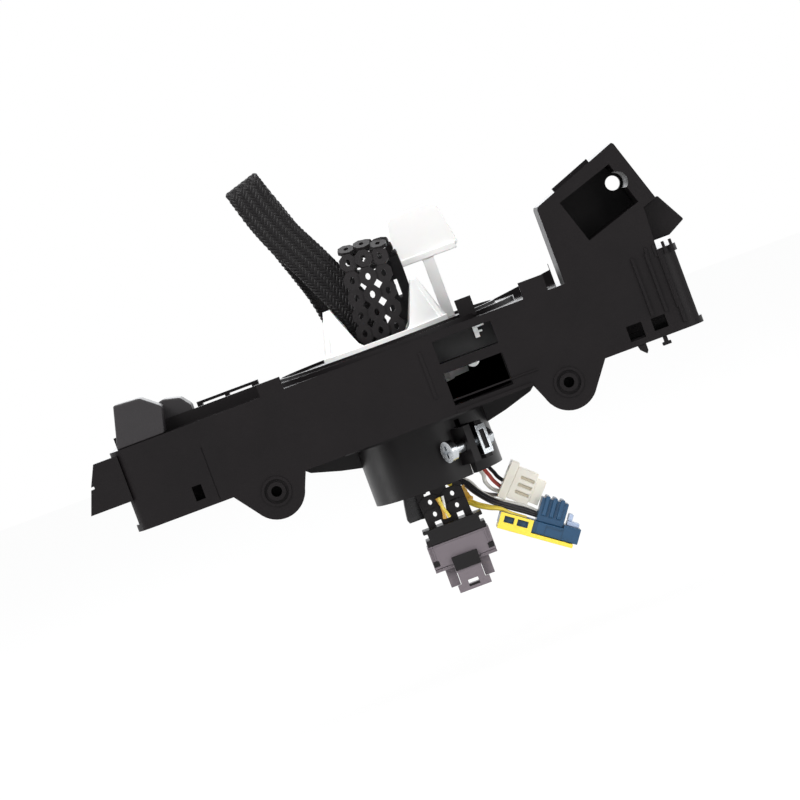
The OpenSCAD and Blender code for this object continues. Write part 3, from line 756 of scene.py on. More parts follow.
@dataclass
class Shells:
    """Moulded shells of the construction, with rounded edges and their finishes.

    Attributes:
        rounded: Node, finish, body and edge radius of each copy that stands for its node.
        kept: Node and finish of each node that keeps its own mesh.
    """

    rounded: list[tuple[str, Finish, Body, float]] = field(
        default_factory=lambda: [
            ("switch_carrier", NYLON, Body.CARRIER, 0.3),
            ("column_collar", NYLON_SMOOTH, Body.CARRIER, 0.3),
            ("clip_nut", ZINC, Body.CARRIER, 0.12),
            ("drum_cover", NYLON, Body.CARRIER, 0.25),
            ("right_tower", NYLON, Body.CARRIER, 0.4),
            ("tower_hook", NYLON, Body.CARRIER, 0.5),
            # The hood's greyer nylon is painted reflection.
            ("left_hood", NYLON_DULL_PAINTED_REFLECTION, Body.CARRIER, 0.6),
            ("skirt_clips", NYLON, Body.CARRIER, 0.2),
            ("rear_socket", NYLON, Body.CARRIER, 0.3),
            ("stator_terminal", ACETAL, Body.CARRIER, 0.3),
            ("rotor_hub", ACETAL, Body.ROTOR, 0.3),
            ("rotor_disc", NYLON, Body.ROTOR, 0.25),
            ("sleeve_outlets", NYLON_SMOOTH, Body.ROTOR, 0.4),
            ("transport_lock", ACETAL, Body.PULL_TAB, 0.5),
            ("switch_plug", PLUG_GREY, Body.ROTOR, 0.25),
            ("switch_plug_cap", PLUG_BLACK, Body.ROTOR, 0.3),
            ("switch_plug_latch", PLUG_GREY, Body.ROTOR, 0.25),
            ("ivory_plug", PLUG_IVORY, Body.ROTOR, 0.25),
            ("ivory_plug_cover", PLUG_IVORY, Body.ROTOR, 0.3),
            ("squib_plug", PLUG_BLUE, Body.ROTOR, 0.25),
            ("squib_barrel", PLUG_BLUE, Body.ROTOR, 0.3),
            ("squib_lock", LOCK_YELLOW, Body.PLUG_LOCK, 0.2),
        ]
    )
    kept: list[tuple[str, Finish]] = field(
        default_factory=lambda: [
            ("clamp_screw", ZINC),
            ("ribbon_cable", RIBBON_FILM),
            ("contact_pins", PIN_BRASS),
            ("rotor_terminal", ACETAL),
            ("cancel_ring", ACETAL),
        ]
    )

    def build(self) -> None:
        """Dress every node of the construction."""
        for node, finish, body, round_mm in self.rounded:
            cut = ledge_cuts() if node == "switch_carrier" else None
            dressed_copy(node, finish, body, round_mm, cut)
        for node, finish in self.kept:
            finish_node(node, finish)


# Harness


@dataclass(frozen=True)
class Station:
    """One place along a sleeve or wire.

    Attributes:
        place: Point on the centreline, in millimetres.
        ahead: Direction of the run.
        across: Direction across the flat sleeve.
        out: Direction out of its flat face.
        run: Length up to here.
    """

    place: Vector
    ahead: Vector
    across: Vector
    out: Vector
    run: float


def smooth_line(points: list[Vector], step: float) -> list[Vector]:
    """Draw a smooth line through points, with places about a step apart.

    Args:
        points: Points that the line passes.
        step: Distance between places, in millimetres.

    Returns:
        Places from the first point to the last.
    """
    line = []
    last = len(points) - 1
    for i in range(last):
        before, start = points[max(i - 1, 0)], points[i]
        end, after = points[i + 1], points[min(i + 2, last)]
        parts = max(2, round((end - start).length / step))
        for k in range(parts):
            t = k / parts
            line.append(
                0.5
                * (
                    2 * start
                    + (end - before) * t
                    + (2 * before - 5 * start + 4 * end - after) * t * t
                    + (3 * start - before - 3 * end + after) * t**3
                )
            )
    line.append(points[-1])
    return line


def stations(route: list[tuple[Point, float]], step: float) -> list[Station]:
    """Turn a flat sleeve's route into stations, level at both ends as in the construction.

    Args:
        route: Points with the lean of the sleeve across the view, in degrees.
        step: Distance between stations, in millimetres.

    Returns:
        Stations along the smoothed route.
    """
    line = smooth_line([Vector(place) for place, _ in route], step)
    leans = [p.x for p in smooth_line([Vector((lean, i, 0)) for i, (_, lean) in enumerate(route)], 0.02)]
    made = []
    run = 0.0
    for i, place in enumerate(line):
        if i:
            run += (place - line[i - 1]).length
        ahead = (line[min(i + 1, len(line) - 1)] - line[max(i - 1, 0)]).normalized()
        if i in (0, len(line) - 1):
            ahead = Vector((0, 0, math.copysign(1, ahead.z)))
        lean = math.radians(leans[round(i / (len(line) - 1) * (len(leans) - 1))])
        across = Vector((math.cos(lean), 0, math.sin(lean)))
        across = (across - ahead * across.dot(ahead)).normalized()
        made.append(Station(place, ahead, across, ahead.cross(across), run))
    return made


def station_at(line: list[Station], run: float) -> Station:
    """Return the station nearest to a length along the line."""
    return min(line, key=lambda s: abs(s.run - run))


def flat_ring(station: Station, width: float, thickness: float, corners: int = 16) -> list[Vector]:
    """Draw the ring of a flattened tube with round edges about a station.

    Args:
        station: Place of the ring.
        width: Width across the sleeve, in millimetres.
        thickness: Thickness out of its flat face.
        corners: Points of the ring.

    Returns:
        The ring's points.
    """
    ring = []
    flatness = 0.45
    for k in range(corners):
        angle = 2 * math.pi * k / corners
        side, face = math.cos(angle), math.sin(angle)
        side = math.copysign(abs(side) ** flatness, side)
        ring.append(station.place + station.across * side * width / 2 + station.out * face * thickness / 2)
    return ring


# Route of the perforated sleeve as the construction has it: points in millimetres and the lean in degrees.
PERF_ROUTE: list[tuple[Point, float]] = [
    ((5, 26, 56), 0),
    ((5.4, 24.5, 63), 0),
    ((5.6, 18.5, 73), -2),
    ((5, 10.5, 81), -6),
    ((4, 2.5, 85), -10),
    ((3, -3.5, 84), -10),
    ((2.2, -7, 79.5), -8),
    ((1.4, -8.4, 72), -4),
    ((0.4, -8.6, 63), 0),
    ((-0.8, -8.2, 54), 0),
    ((-1.4, -7.4, 40), 0),
    ((-1.6, -6.8, 22), 0),
    ((-1.6, -6.2, 4), 0),
    ((-1, -5.6, -13.2), 0),
]
# Route of the braided sleeve, likewise.
BRAID_ROUTE: list[tuple[Point, float]] = [
    ((-11.2, 26, 56), 0),
    ((-11.8, 24.6, 64), 8),
    ((-14, 20, 76), 16),
    ((-19, 14.5, 92), 18),
    ((-24.4, 9.5, 108), 18),
    ((-27.4, 7, 117), 18),
    ((-28, 5, 119), 18),
    ((-27.4, 3, 117), 18),
    ((-24.7, 2.5, 107.6), 18),
    ((-21, 2.2, 98), 18),
    ((-15, 2, 86), 18),
    ((-10, 2, 75), 16),
    ((-5.8, 2, 65), 12),
    ((-3.8, 2, 55), 6),
    ((-3.4, 2, 40), 0),
    ((-4.4, 2.4, 22), 0),
    ((-5.4, 3, 6), 0),
]


@dataclass
class ChainSleeve:
    """Perforated sleeve: columns of ring links, moulded as one flexible sheet and rolled round the wires.

    Attributes:
        width: Width of the sleeve; not used.
        link_pitch: Distance from link to link along a column.
        link_width: Width of a link.
        link_t: Thickness of a link.
        hole_width: Width of the hole in a link.
        hole_length: Length of that hole.
        columns: Columns across the sleeve, in shares of half its width.
        half_width: Half the width on which the columns are spread.
        first_run: Length along the route at which the links start.
        spread_z: Height under which the sleeve is spread to two wide columns.
        wide_pitch: Distance from link to link in those columns.
        wide_width: Width of their links.
        wide_columns: Their places across the sleeve, in shares of half its width.
        layer_gap: Height of the crown across the sleeve.
        web_edges: Places across the sleeve of the webs beside the wide columns.
        web_t: Thickness of the webs.
        leg_shift: Distance by which the folded rear leg stands to the right of the route.
        leg_half: Half the width and half the thickness of that leg.
        slit_at: X of the slit in it.
        slit_half: Half the width of the slit.
        bridges: Heights from and to which the slit is closed.
    """

    width: float = 16.6
    link_pitch: float = 6.1
    link_width: float = 5.8
    link_t: float = 1.3
    hole_width: float = 1.6
    hole_length: float = 2.4
    columns: tuple[float, ...] = (-0.92, 0.0, 0.92)
    half_width: float = 6.0
    first_run: float = 26.0
    spread_z: float = 1.0
    wide_pitch: float = 4.5
    wide_width: float = 7.6
    wide_columns: tuple[float, ...] = (-0.68, 0.68)
    layer_gap: float = 1.1
    web_edges: tuple[tuple[float, float], ...] = ((-7.9, -5.2), (-2.9, 2.9), (5.2, 7.9))
    web_t: float = 0.7
    leg_shift: float = 4.4
    leg_half: tuple[float, float] = (4.3, 1.5)
    slit_at: float = 10.3
    slit_half: float = 0.6
    bridges: tuple[tuple[float, float], ...] = ((52.2, 64.4), (70.6, 78.0))

    def build(self) -> bpy.types.Object:
        """Returns:
            The sleeve.
        """
        line = stations(PERF_ROUTE, 0.5)
        sleeve = joined(self._links(line), self._rear_leg(line))
        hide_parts("perforated_sleeve")
        liner = self._liner(line)
        ends = self._ends(line)
        return sleeve

    def _spots(self, line: list[Station], wide: bool) -> list[tuple[Vector, Matrix]]:
        """Find the place and turn of every link.

        Args:
            line: Stations of the sleeve.
            wide: True for the two wide columns below, False for the narrow ones above.

        Returns:
            Place and turn of each link.
        """
        spots = []
        run = self.first_run
        end = line[-1].run - self.wide_pitch * 0.4
        while run < end:
            s = station_at(line, run)
            turn = Matrix((s.across, s.ahead, -s.out)).transposed()
            spread = s.place.z < self.spread_z
            if spread == wide:
                for column in self.wide_columns if wide else self.columns:
                    crown = (1 - column * column) * self.layer_gap
                    place = s.place + s.across * column * self.half_width + s.out * (crown + self.link_t * 0.4)
                    spots.append((place, turn))
            run += self.wide_pitch if spread else self.link_pitch
        return spots

    def _links(self, line: list[Station]) -> bpy.types.Object:
        """Make the links by Geometry Nodes on two clouds of points, as one plain mesh.

        Args:
            line: Stations of the sleeve.

        Returns:
            The links and webs.
        """
        above, below = self._spots(line, False), self._spots(line, True)
        narrow = self._grown("perforated_sleeve_links", above, self.link_width, self.link_pitch)
        wide = self._grown("perforated_sleeve_end", below, self.wide_width, self.wide_pitch)
        return joined(narrow, joined(wide, self._webs(line)))

    def _webs(self, line: list[Station]) -> bpy.types.Object:
        """Make the thin webs beside the two wide columns, which leave only their holes open.

        Args:
            line: Stations of the sleeve.

        Returns:
            The webs.
        """
        maker = MeshMaker()
        low = [s for s in line if s.place.z < self.spread_z + self.wide_pitch * 0.5]
        for left, right in self.web_edges:
            corners = [(left, 0.0), (right, 0.0), (right, self.web_t), (left, self.web_t)]
            rings = [[s.place + s.across * x + s.out * y for x, y in corners] for s in low]
            maker.loft(rings)
        return maker.piece("perforated_sleeve_webs", CHAIN_RUBBER, Body.ROTOR)

    def _grown(
        self, name: str, spots: list[tuple[Vector, Matrix]], width: float, pitch: float
    ) -> bpy.types.Object:
        """Grow the links of one size on their spots.

        Args:
            name: Name of the piece.
            spots: Place and turn of each link.
            width: Width of a link.
            pitch: Distance from link to link.

        Returns:
            The links as one mesh.
        """
        overlap = 0.35
        # The hole narrows less than the link where the links are short.
        hole_share = 3 * pitch / (2 * self.link_pitch + pitch)
        data = bpy.data.meshes.new("chain_spots")
        data.from_pydata([tuple(place * MM) for place, _ in spots], [], [])
        turns = data.attributes.new("turn", "FLOAT_VECTOR", "POINT")
        for i, (_, turn) in enumerate(spots):
            turns.data[i].vector = turn.to_euler()
        cloud = put_in_scene(name, data)
        sizes_mm = {
            "Link width": width,
            "Link length": pitch + overlap,
            "Link thickness": self.link_t,
            "Hole width": self.hole_width * hole_share,
            "Hole length": self.hole_length * pitch / self.link_pitch,
        }
        values = {socket: value * MM for socket, value in sizes_mm.items()}
        return grow(cloud, link_tree(), values, CHAIN_RUBBER, Body.ROTOR)

    def _rear_leg(self, line: list[Station]) -> bpy.types.Object:
        """Make the rear leg, folded in half and taped, with its slit and its ragged upper end.

        Args:
            line: Stations of the sleeve.

        Returns:
            The leg.
        """
        maker = MeshMaker()
        legs = [s for s in line if s.run <= self.first_run + 1.5]
        half_width, half_t = self.leg_half
        slit_left, slit_right = self.slit_at - self.slit_half, self.slit_at + self.slit_half
        for side in ("left", "right"):
            rings = []
            for s in legs:
                centre = s.place + s.across * self.leg_shift
                left = centre.x - half_width if side == "left" else slit_right
                right = centre.x + half_width if side == "right" else slit_left
                corners = flat_section(left, right, half_t)
                rings.append([Vector((x, centre.y, centre.z)) + s.out * t for x, t in corners])
            maker.loft(rings)
        reach = self.slit_half + 0.1
        corners = flat_section(-reach, reach, 1)
        for low_z, high_z in self.bridges:
            rings = []
            for s in legs:
                if low_z <= s.place.z <= high_z:
                    foot = Vector((self.slit_at, s.place.y, s.place.z))
                    rings.append([foot + Vector((x, 0, 0)) + s.out * t for x, t in corners])
            maker.loft(rings)
        top = legs[-1]
        first, step = 0.7, 1.25
        corners = flat_section(-0.55, 0.55, 1.2)
        for k, height in enumerate((1.2, 2.4, 0.9, 2.9, 1.6, 2.2, 0.8)):
            foot = top.place + top.across * (self.leg_shift - half_width + first + k * step)
            rings = [
                [foot + top.ahead * rise + (top.across * x + top.out * t) * slim for x, t in corners]
                for rise, slim in ((-1.0, 1.0), (height * 0.6, 0.8), (height, 0.35))
            ]
            maker.loft(rings)
        return maker.piece("perforated_sleeve_rear_leg", CLOTH_TAPE, Body.ROTOR)

    def _liner(self, line: list[Station]) -> bpy.types.Object:
        """Make the dark bundle that fills the sleeve inside the hub and the collar.

        Args:
            line: Stations of the sleeve.

        Returns:
            The bundle.
        """
        low_z, high_z, width, thickness = 1, 52, 9.5, 1.6
        maker = MeshMaker()
        inside = [s for s in line if low_z < s.place.z < high_z and s.place.y < 0]
        maker.loft([flat_ring(s, width, thickness) for s in inside[::4]])
        return maker.piece("perforated_sleeve_bundle", CLOTH_TAPE, Body.ROTOR)

    def _ends(self, line: list[Station]) -> list[bpy.types.Object]:
        """Make the taped wires that show between the two wide columns above the switch plug.

        Args:
            line: Stations of the sleeve.

        Returns:
            The wires.
        """
        low_z, high_z = -12.6, -3.6
        near = [s for s in line if low_z < s.place.z < high_z and s.place.y < 0]
        strands = ((TAPE_OCHRE, -1.3, 0.75), (WIRE_WHITE, 0.1, 0.5), (WIRE_YELLOW, -0.3, 0.55))
        made = []
        for k, (finish, shift, radius) in enumerate(strands):
            points = []
            for i, s in enumerate(near[::3]):
                sway = 0.55 * math.sin(0.7 * i + 2 * k)
                points.append(s.place + s.across * (shift + sway) + s.out * (1.9 + 0.3 * k))
            maker = MeshMaker().tube(points, radius, sides=12)
            made.append(maker.piece(f"switch_wire_end_{k}", finish, Body.ROTOR))
        return made


def flat_section(left: float, right: float, half: float) -> Outline:
    """Return the corners of a section from left to right, half as thick to each side."""
    return [(left, -half), (right, -half), (right, half), (left, half)]


def joined(main: bpy.types.Object, other: bpy.types.Object) -> bpy.types.Object:
    """Take another piece's mesh and materials into a piece, and delete the other.

    Args:
        main: Piece that stays.
        other: Piece that is taken in.

    Returns:
        The piece that stays.
    """
    first = len(main.data.materials)
    for material in other.data.materials:
        main.data.materials.append(material)
    mesh = bmesh.new()
    mesh.from_mesh(main.data)
    own = len(mesh.faces)
    mesh.from_mesh(other.data)
    mesh.faces.ensure_lookup_table()
    for face in mesh.faces[own:]:
        face.material_index += first
    mesh.to_mesh(main.data)
    mesh.free()
    bpy.data.objects.remove(other)
    return main


def link_tree() -> bpy.types.NodeTree:
    """Geometry Nodes tree of the chain links: an eight sided plate with a hole, on every point.

    Returns:
        The tree, with the sizes of the link as named inputs in metres.
    """
    tree = bpy.data.node_groups.new("Chain links", "GeometryNodeTree")
    tree.interface.new_socket("Geometry", in_out="INPUT", socket_type="NodeSocketGeometry")
    for name in ("Link width", "Link length", "Link thickness", "Hole width", "Hole length"):
        tree.interface.new_socket(name, in_out="INPUT", socket_type="NodeSocketFloat")
    tree.interface.new_socket("Material", in_out="INPUT", socket_type="NodeSocketMaterial")
    tree.interface.new_socket("Geometry", in_out="OUTPUT", socket_type="NodeSocketGeometry")
    sizes = add_node(tree, "NodeGroupInput").outputs
    plate = octagon(tree, sizes["Link width"], sizes["Link length"])
    hole = octagon(tree, sizes["Hole width"], sizes["Hole length"])
    outline = add_node(tree, "GeometryNodeJoinGeometry")
    tree.links.new(plate, outline.inputs[0])
    tree.links.new(hole, outline.inputs[0])
    face = add_node(tree, "GeometryNodeFillCurve", None, {"Curve": outline.outputs[0]})
    raised = add_node(
        tree,
        "GeometryNodeExtrudeMesh",
        {"Individual": False},
        {"Mesh": face.outputs[0], "Offset Scale": sizes["Link thickness"]},
    )
    back = add_node(tree, "GeometryNodeFlipFaces", None, {"Mesh": face.outputs[0]})
    link = add_node(tree, "GeometryNodeJoinGeometry")
    tree.links.new(raised.outputs["Mesh"], link.inputs[0])
    tree.links.new(back.outputs[0], link.inputs[0])
    near = 0.01 * MM
    merged = add_node(tree, "GeometryNodeMergeByDistance", {"Distance": near}, {"Geometry": link.outputs[0]})
    turn = add_node(tree, "GeometryNodeInputNamedAttribute", {"Name": "turn"}, data_type="FLOAT_VECTOR")
    spread = add_node(
        tree,
        "GeometryNodeInstanceOnPoints",
        None,
        {"Points": sizes["Geometry"], "Instance": merged.outputs[0], "Rotation": turn.outputs["Attribute"]},
    )
    end_tree(tree, spread.outputs[0], sizes["Material"])
    return tree


def octagon(
    tree: bpy.types.NodeTree, width: bpy.types.NodeSocket, length: bpy.types.NodeSocket
) -> bpy.types.NodeSocket:
    """Add an eight sided curve of a width along X and a length along Y.

    Args:
        tree: Tree that takes the nodes.
        width: Socket of the width.
        length: Socket of the length.

    Returns:
        The curve's socket.
    """
    # Radius of the corners as a share of the size, at which the flats give the size.
    share = 0.54
    circle = add_node(tree, "GeometryNodeCurvePrimitiveCircle", {"Resolution": 8, "Radius": share})
    scale = add_node(tree, "ShaderNodeCombineXYZ", {"Z": 1.0}, {"X": width, "Y": length})
    placed = add_node(
        tree,
        "GeometryNodeTransform",
        {"Rotation": (0.0, 0.0, math.radians(22.5))},
        {"Geometry": circle.outputs[0]},
    )
    return add_node(
        tree, "GeometryNodeTransform", None, {"Geometry": placed.outputs[0], "Scale": scale.outputs[0]}
    ).outputs[0]


def end_tree(tree: bpy.types.NodeTree, geometry: bpy.types.NodeSocket, material: bpy.types.NodeSocket) -> None:
    """End a Geometry Nodes tree in Realize Instances, Set Material and the group's output.

    Args:
        tree: The tree.
        geometry: Socket of the instances.
        material: Socket of the tree's Material input.
    """
    real = add_node(tree, "GeometryNodeRealizeInstances", None, {"Geometry": geometry})
    dressed = add_node(
        tree, "GeometryNodeSetMaterial", None, {"Geometry": real.outputs[0], "Material": material}
    )
    add_node(tree, "NodeGroupOutput", None, {0: dressed.outputs[0]})


def grow(
    base: bpy.types.Object, tree: bpy.types.NodeTree, values: dict[str, float], finish: Finish, body: Body
) -> bpy.types.Object:
    """Run a Geometry Nodes tree on an object and keep the result as a plain mesh.

    Args:
        base: Object that carries the points or the curve.
        tree: The tree.
        values: Values by the name of the tree's input.
        finish: Finish of the piece, set through the tree's Material input.
        body: Body the piece rides on.

    Returns:
        The finished piece, under the base object's name.
    """
    modifier = base.modifiers.new("Grow", "NODES")
    modifier.node_group = tree
    for socket in tree.interface.items_tree:
        if getattr(socket, "in_out", "") != "INPUT":
            continue
        if socket.name in values:
            modifier[socket.identifier] = values[socket.name]
        elif socket.name == "Material":
            modifier[socket.identifier] = finish.material()
    shown = base.evaluated_get(bpy.context.evaluated_depsgraph_get())
    data = bpy.data.meshes.new_from_object(shown)
    name = base.name
    base.modifiers.remove(modifier)
    bpy.data.objects.remove(base)
    made = put_in_scene(name, data)
    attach(made, body.value)
    log.info("%s: %d faces grown on %s", name, len(data.polygons), body.value)
    return made


@dataclass
class BraidedSleeve:
    """Flat braided sleeve: strands that wind both ways round a flattened tube, two over and two under.

    Attributes:
        width: Width of the sleeve, lying flat.
        thickness: Thickness to the outside of the strands.
        strands: Strands in each direction.
        strand_width: Width of a strand.
        strand_t: Thickness of a strand.
        lay: Length in which a strand goes once round.
        weave: Height by which a strand rises and dips.
        step: Distance between the rings of a strand.
    """

    width: float = 13.4
    thickness: float = 2.2
    strands: int = 18
    strand_width: float = 1.12
    strand_t: float = 0.34
    lay: float = 27.0
    weave: float = 0.16
    step: float = 0.8

    def build(self) -> bpy.types.Object:
        """Returns:
            The sleeve.
        """
        line = stations(BRAID_ROUTE, self.step)
        maker = MeshMaker()
        for direction in (1, -1):
            for strand in range(self.strands):
                maker.loft(self._strand(line, strand, direction))
        sleeve = maker.piece("braided_sleeve_strands", BRAID_FIBRE, Body.ROTOR)
        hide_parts("braided_sleeve")
        core = MeshMaker().loft([flat_ring(s, self.width - 1.6, self.thickness - 1.3) for s in line[::2]])
        inner = core.piece("braided_sleeve_core", CLOTH_TAPE, Body.ROTOR)
        return sleeve

    def _rim(self, angle: float, proud: float) -> tuple[float, float, float, float]:
        """Find the point and outward direction on the flattened section at an angle in turns.

        Args:
            angle: Place round the section, in turns.
            proud: Distance outside the middle of the strands.

        Returns:
            Distance across, distance out, and the two parts of the outward direction.
        """
        half_t = self.thickness / 2 - self.strand_t / 2 - self.weave
        flat = self.width / 2 - self.strand_t / 2 - self.weave - half_t
        round_part = math.pi * half_t
        whole = 4 * flat + 2 * round_part
        place = (angle % 1.0) * whole
        if place < 2 * flat:
            return place - flat, half_t + proud, 0.0, 1.0
        place -= 2 * flat
        if place < round_part:
            turn = math.pi / 2 - place / half_t
            side, face = math.cos(turn), math.sin(turn)
            return flat + side * (half_t + proud), face * (half_t + proud), side, face
        place -= round_part
        if place < 2 * flat:
            return flat - place, -half_t - proud, 0.0, -1.0
        place -= 2 * flat
        turn = -math.pi / 2 - place / half_t
        side, face = math.cos(turn), math.sin(turn)
        return -flat + side * (half_t + proud), face * (half_t + proud), side, face

    def _strand(self, line: list[Station], strand: int, direction: int) -> list[list[Vector]]:
        """Draw the rings of one strand, a flat ribbon with a crowned face.

        Args:
            line: Stations of the sleeve.
            strand: Number of the strand.
            direction: One for the strands that wind one way, minus one for the others.

        Returns:
            Rings of six points.
        """
        rings = []
        for s in line:
            angle = strand / self.strands + direction * s.run / self.lay
            crossing = 2 * strand + direction * 2 * self.strands * s.run / self.lay
            proud = direction * self.weave * math.sin(math.pi / 2 * crossing + math.pi / 4)
            across, out, side, face = self._rim(angle, proud)
            centre = s.place + s.across * across + s.out * out
            up = (s.across * side + s.out * face).normalized()
            wind = (s.ahead * self.lay + s.ahead.cross(up) * direction * -2 * self.width).normalized()
            wide = wind.cross(up).normalized()
            half, crown = self.strand_width / 2, self.strand_t / 2
            flat = half * 0.5
            section = [(-half, 0), (-flat, crown), (flat, crown), (half, 0), (flat, -crown), (-flat, -crown)]
            rings.append([centre + wide * w + up * h for w, h in section])
        return rings


# Single wires


@dataclass(frozen=True)
class Wire:
    """One insulated wire of a bunch.

    Attributes:
        finish: Colour of its insulation.
        points: Points that it passes after the end of the braid, in millimetres.
        radius: Half its thickness.
    """

    finish: Finish
    points: list[Point]
    radius: float = 0.7


@dataclass
class WireBunch:
    """Wires that run from the end of the braided sleeve to one plug.

    Attributes:
        node: Node of the construction that the wires stand for.
        start: Point in the end of the braid, inside the collar, where the middle of their row starts.
        wires: Its wires.
        plugs: Dressed pieces of its plug; not used.
        tape: Points of the ochre tape round it, none where it has no tape.
        tape_width: Width of the taped bundle.
        tape_t: Its thickness.
    """

    node: str
    start: Point
    wires: list[Wire]
    plugs: list[str]
    tape: list[Point] = field(default_factory=list)
    tape_width: float = 4.2
    tape_t: float = 2.7

    def build(self) -> list[bpy.types.Object]:
        """Returns:
            The wires.
        """
        extra = [self._tape()] if self.tape else []
        return [self._wire(number) for number in range(len(self.wires))]

    def _line(self, number: int) -> list[Vector]:
        """Draw the smooth line of one wire, which starts in a row with its neighbours inside the flat braid.

        Args:
            number: Number of the wire.

        Returns:
            Places along the wire.
        """
        wire = self.wires[number]
        place = (number - (len(self.wires) - 1) / 2) * 2.1 * wire.radius
        start = Vector(self.start) + Vector((place, 0, 0))
        return smooth_line([start, *(Vector(point) for point in wire.points)], 0.7)

    def _wire(self, number: int) -> bpy.types.Object:
        """Args:
            number: Number of the wire.

        Returns:
            The wire.
        """
        wire = self.wires[number]
        line = self._line(number)
        maker = MeshMaker().tube(line, wire.radius, sides=14)
        piece = maker.piece(f"{self.node}_{number}", wire.finish, Body.ROTOR)
        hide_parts(self.node)
        return piece

    def _tape(self) -> bpy.types.Object:
        """Make the tape as a slightly uneven flattened wrap.

        Returns:
            The tape.
        """
        line = smooth_line([Vector(point) for point in self.tape], 0.6)
        rings = []
        for i, place in enumerate(line):
            ahead = (line[min(i + 1, len(line) - 1)] - line[max(i - 1, 0)]).normalized()
            across = Vector((1, 0, 0)) - ahead * ahead.x
            across.normalize()
            lap = 1 + 0.06 * math.sin(2.3 * i) + 0.04 * math.sin(5.1 * i)
            station = Station(place, ahead, across, ahead.cross(across), 0)
            rings.append(flat_ring(station, self.tape_width * lap, self.tape_t * lap))
        return MeshMaker().loft(rings).piece(f"{self.node}_tape", TAPE_OCHRE, Body.ROTOR)


# Yellow airbag pair, two black wires and a cream one, all on the blue plug
AIRBAG_BUNCH = WireBunch(
    node="squib_wires",
    start=(-1.9, 3, 7),
    wires=[
        Wire(
            WIRE_YELLOW,
            [(1.6, 2, 0), (4.8, 1.8, -5), (5.9, 0.9, -8.6), (8.8, -1.1, -11.6), (12.6, -3.6, -13.8)]
            + [(16.5, -5.33, -15.5), (19.4, -5.33, -18.34), (23.5, -5.33, -21.5)],
        ),
        Wire(
            WIRE_YELLOW,
            [(2.2, 3, 0), (5.8, 2.8, -5), (7.1, 2.1, -8.6), (9.4, 0.2, -11.2), (13, -2.1, -13.5)]
            + [(16.5, -3.87, -15.5), (19.4, -3.87, -18.34), (23.5, -3.87, -21.5)],
        ),
        Wire(
            WIRE_BLACK,
            [(3.6, 4.2, 0.6), (7.6, 4.4, -3.7), (10.4, 3, -8), (14.6, 0.6, -12.8)]
            + [(19.4, -1.4, -16.4), (24, -2.8, -19.6), (27.2, -3.8, -22)],
        ),
        Wire(
            WIRE_BLACK,
            [(4.4, 5, 0.8), (8.8, 4.9, -3.7), (11.6, 3.8, -8), (15.6, 2.1, -12.6)]
            + [(20.1, 0.2, -15.9), (24.7, -1.2, -19.1), (27.7, -2.2, -21.6)],
        ),
        Wire(
            WIRE_WHITE,
            [(5, 6, 1), (9.8, 6.2, -3.7), (12, 5.4, -7.8), (15.4, 4.4, -12)]
            + [(19.8, 2.6, -14.8), (24.2, 0.6, -17.4), (28, -1.4, -20.9)],
            0.6,
        ),
    ],
    plugs=["squib_plug_dressed", "squib_barrel_dressed"],
    tape=[(5.5, 2.3, -4), (6, 1.9, -7), (7.1, 0.9, -9.8)],
)
# Grey, white, red and black signal wires, on the ivory plug
SIGNAL_BUNCH = WireBunch(
    node="signal_wires",
    start=(-7.2, 3, 10),
    wires=[
        Wire(
            WIRE_GREY,
            [(0.6, 6.4, 3), (5, 7, 0), (8.9, 7.4, -4.1)]
            + [(11.3, 7.4, -7.6), (14.1, 6.6, -10), (17, 5.6, -11.3)],
        ),
        Wire(
            WIRE_WHITE,
            [(0.8, 7, 4.2), (8, 7.6, 2.6), (13.4, 7, 0.4), (15.1, 6, -3.1)]
            + [(14.8, 5.8, -5.5), (16, 5.4, -8.4), (18.05, 5.2, -10.25)],
        ),
        Wire(
            WIRE_RED,
            [(1.6, 7.6, 4.4), (9, 8.4, 3.2), (14.6, 8, 0.8)]
            + [(16.7, 7, -3.5), (17.6, 6.4, -6.2), (19.15, 5.8, -9)],
        ),
        Wire(
            WIRE_BLACK,
            [(2.4, 8.2, 4.6), (10, 9.4, 3.8), (16, 9, 1)]
            + [(18.6, 7.8, -3.2), (19.4, 7, -5.4), (20.7, 6.4, -7.35)],
        ),
    ],
    plugs=["ivory_plug_dressed", "ivory_plug_cover_dressed"],
)
# Route of the tail of the braided sleeve below the collar, as the construction has it
TAIL_ROUTE: list[tuple[Point, float]] = [
    ((-8.9, 3, 6), 0),
    ((-9.6, 3, 2), 0),
    ((-11, 3, -4), 0),
    ((-11.9, 3, -9.9), 0),
]


@dataclass
class SleeveTail:
    """Tail of the braided sleeve, a flat sleeve shrunk smooth, too short for a cord of its own.

    Attributes:
        width: Width of the tail.
        thickness: Its thickness.
        tip: Length over which its end narrows.
        tip_share: Width left at the very end, as a share of the whole.
    """

    width: float = 6.6
    thickness: float = 1.6
    tip: float = 1.5
    tip_share: float = 0.72

    def build(self) -> bpy.types.Object:
        """Make the tail with its rounded end.

        Returns:
            The tail.
        """
        line = stations(TAIL_ROUTE, 0.4)
        last = line[-1].run
        rings = []
        for s in line:
            left = min(1.0, (last - s.run + 0.05) / self.tip)
            slim = self.tip_share + (1 - self.tip_share) * math.sqrt(1 - (1 - left) ** 2)
            rings.append(flat_ring(s, self.width * slim, self.thickness * slim))
        tail = MeshMaker().loft(rings).piece("sleeve_tail_shrunk", SHRINK_BLACK, Body.ROTOR)
        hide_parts("sleeve_tail")
        return tail


# Small forms that only the look needs


def beside(middle: float, side: int, near: float, far: float) -> tuple[float, float]:
    """Return the low and the high X of a form that lies from near to far on one side of a middle."""
    low, high = sorted((middle + side * near, middle + side * far))
    return low, high


def tilted(place: Point, degrees: float) -> Matrix:
    """Return the matrix that dips a plug to the right by some degrees and puts it in its place."""
    return Matrix.Translation(Vector(place)) @ Matrix.Rotation(math.radians(degrees), 4, "Y")


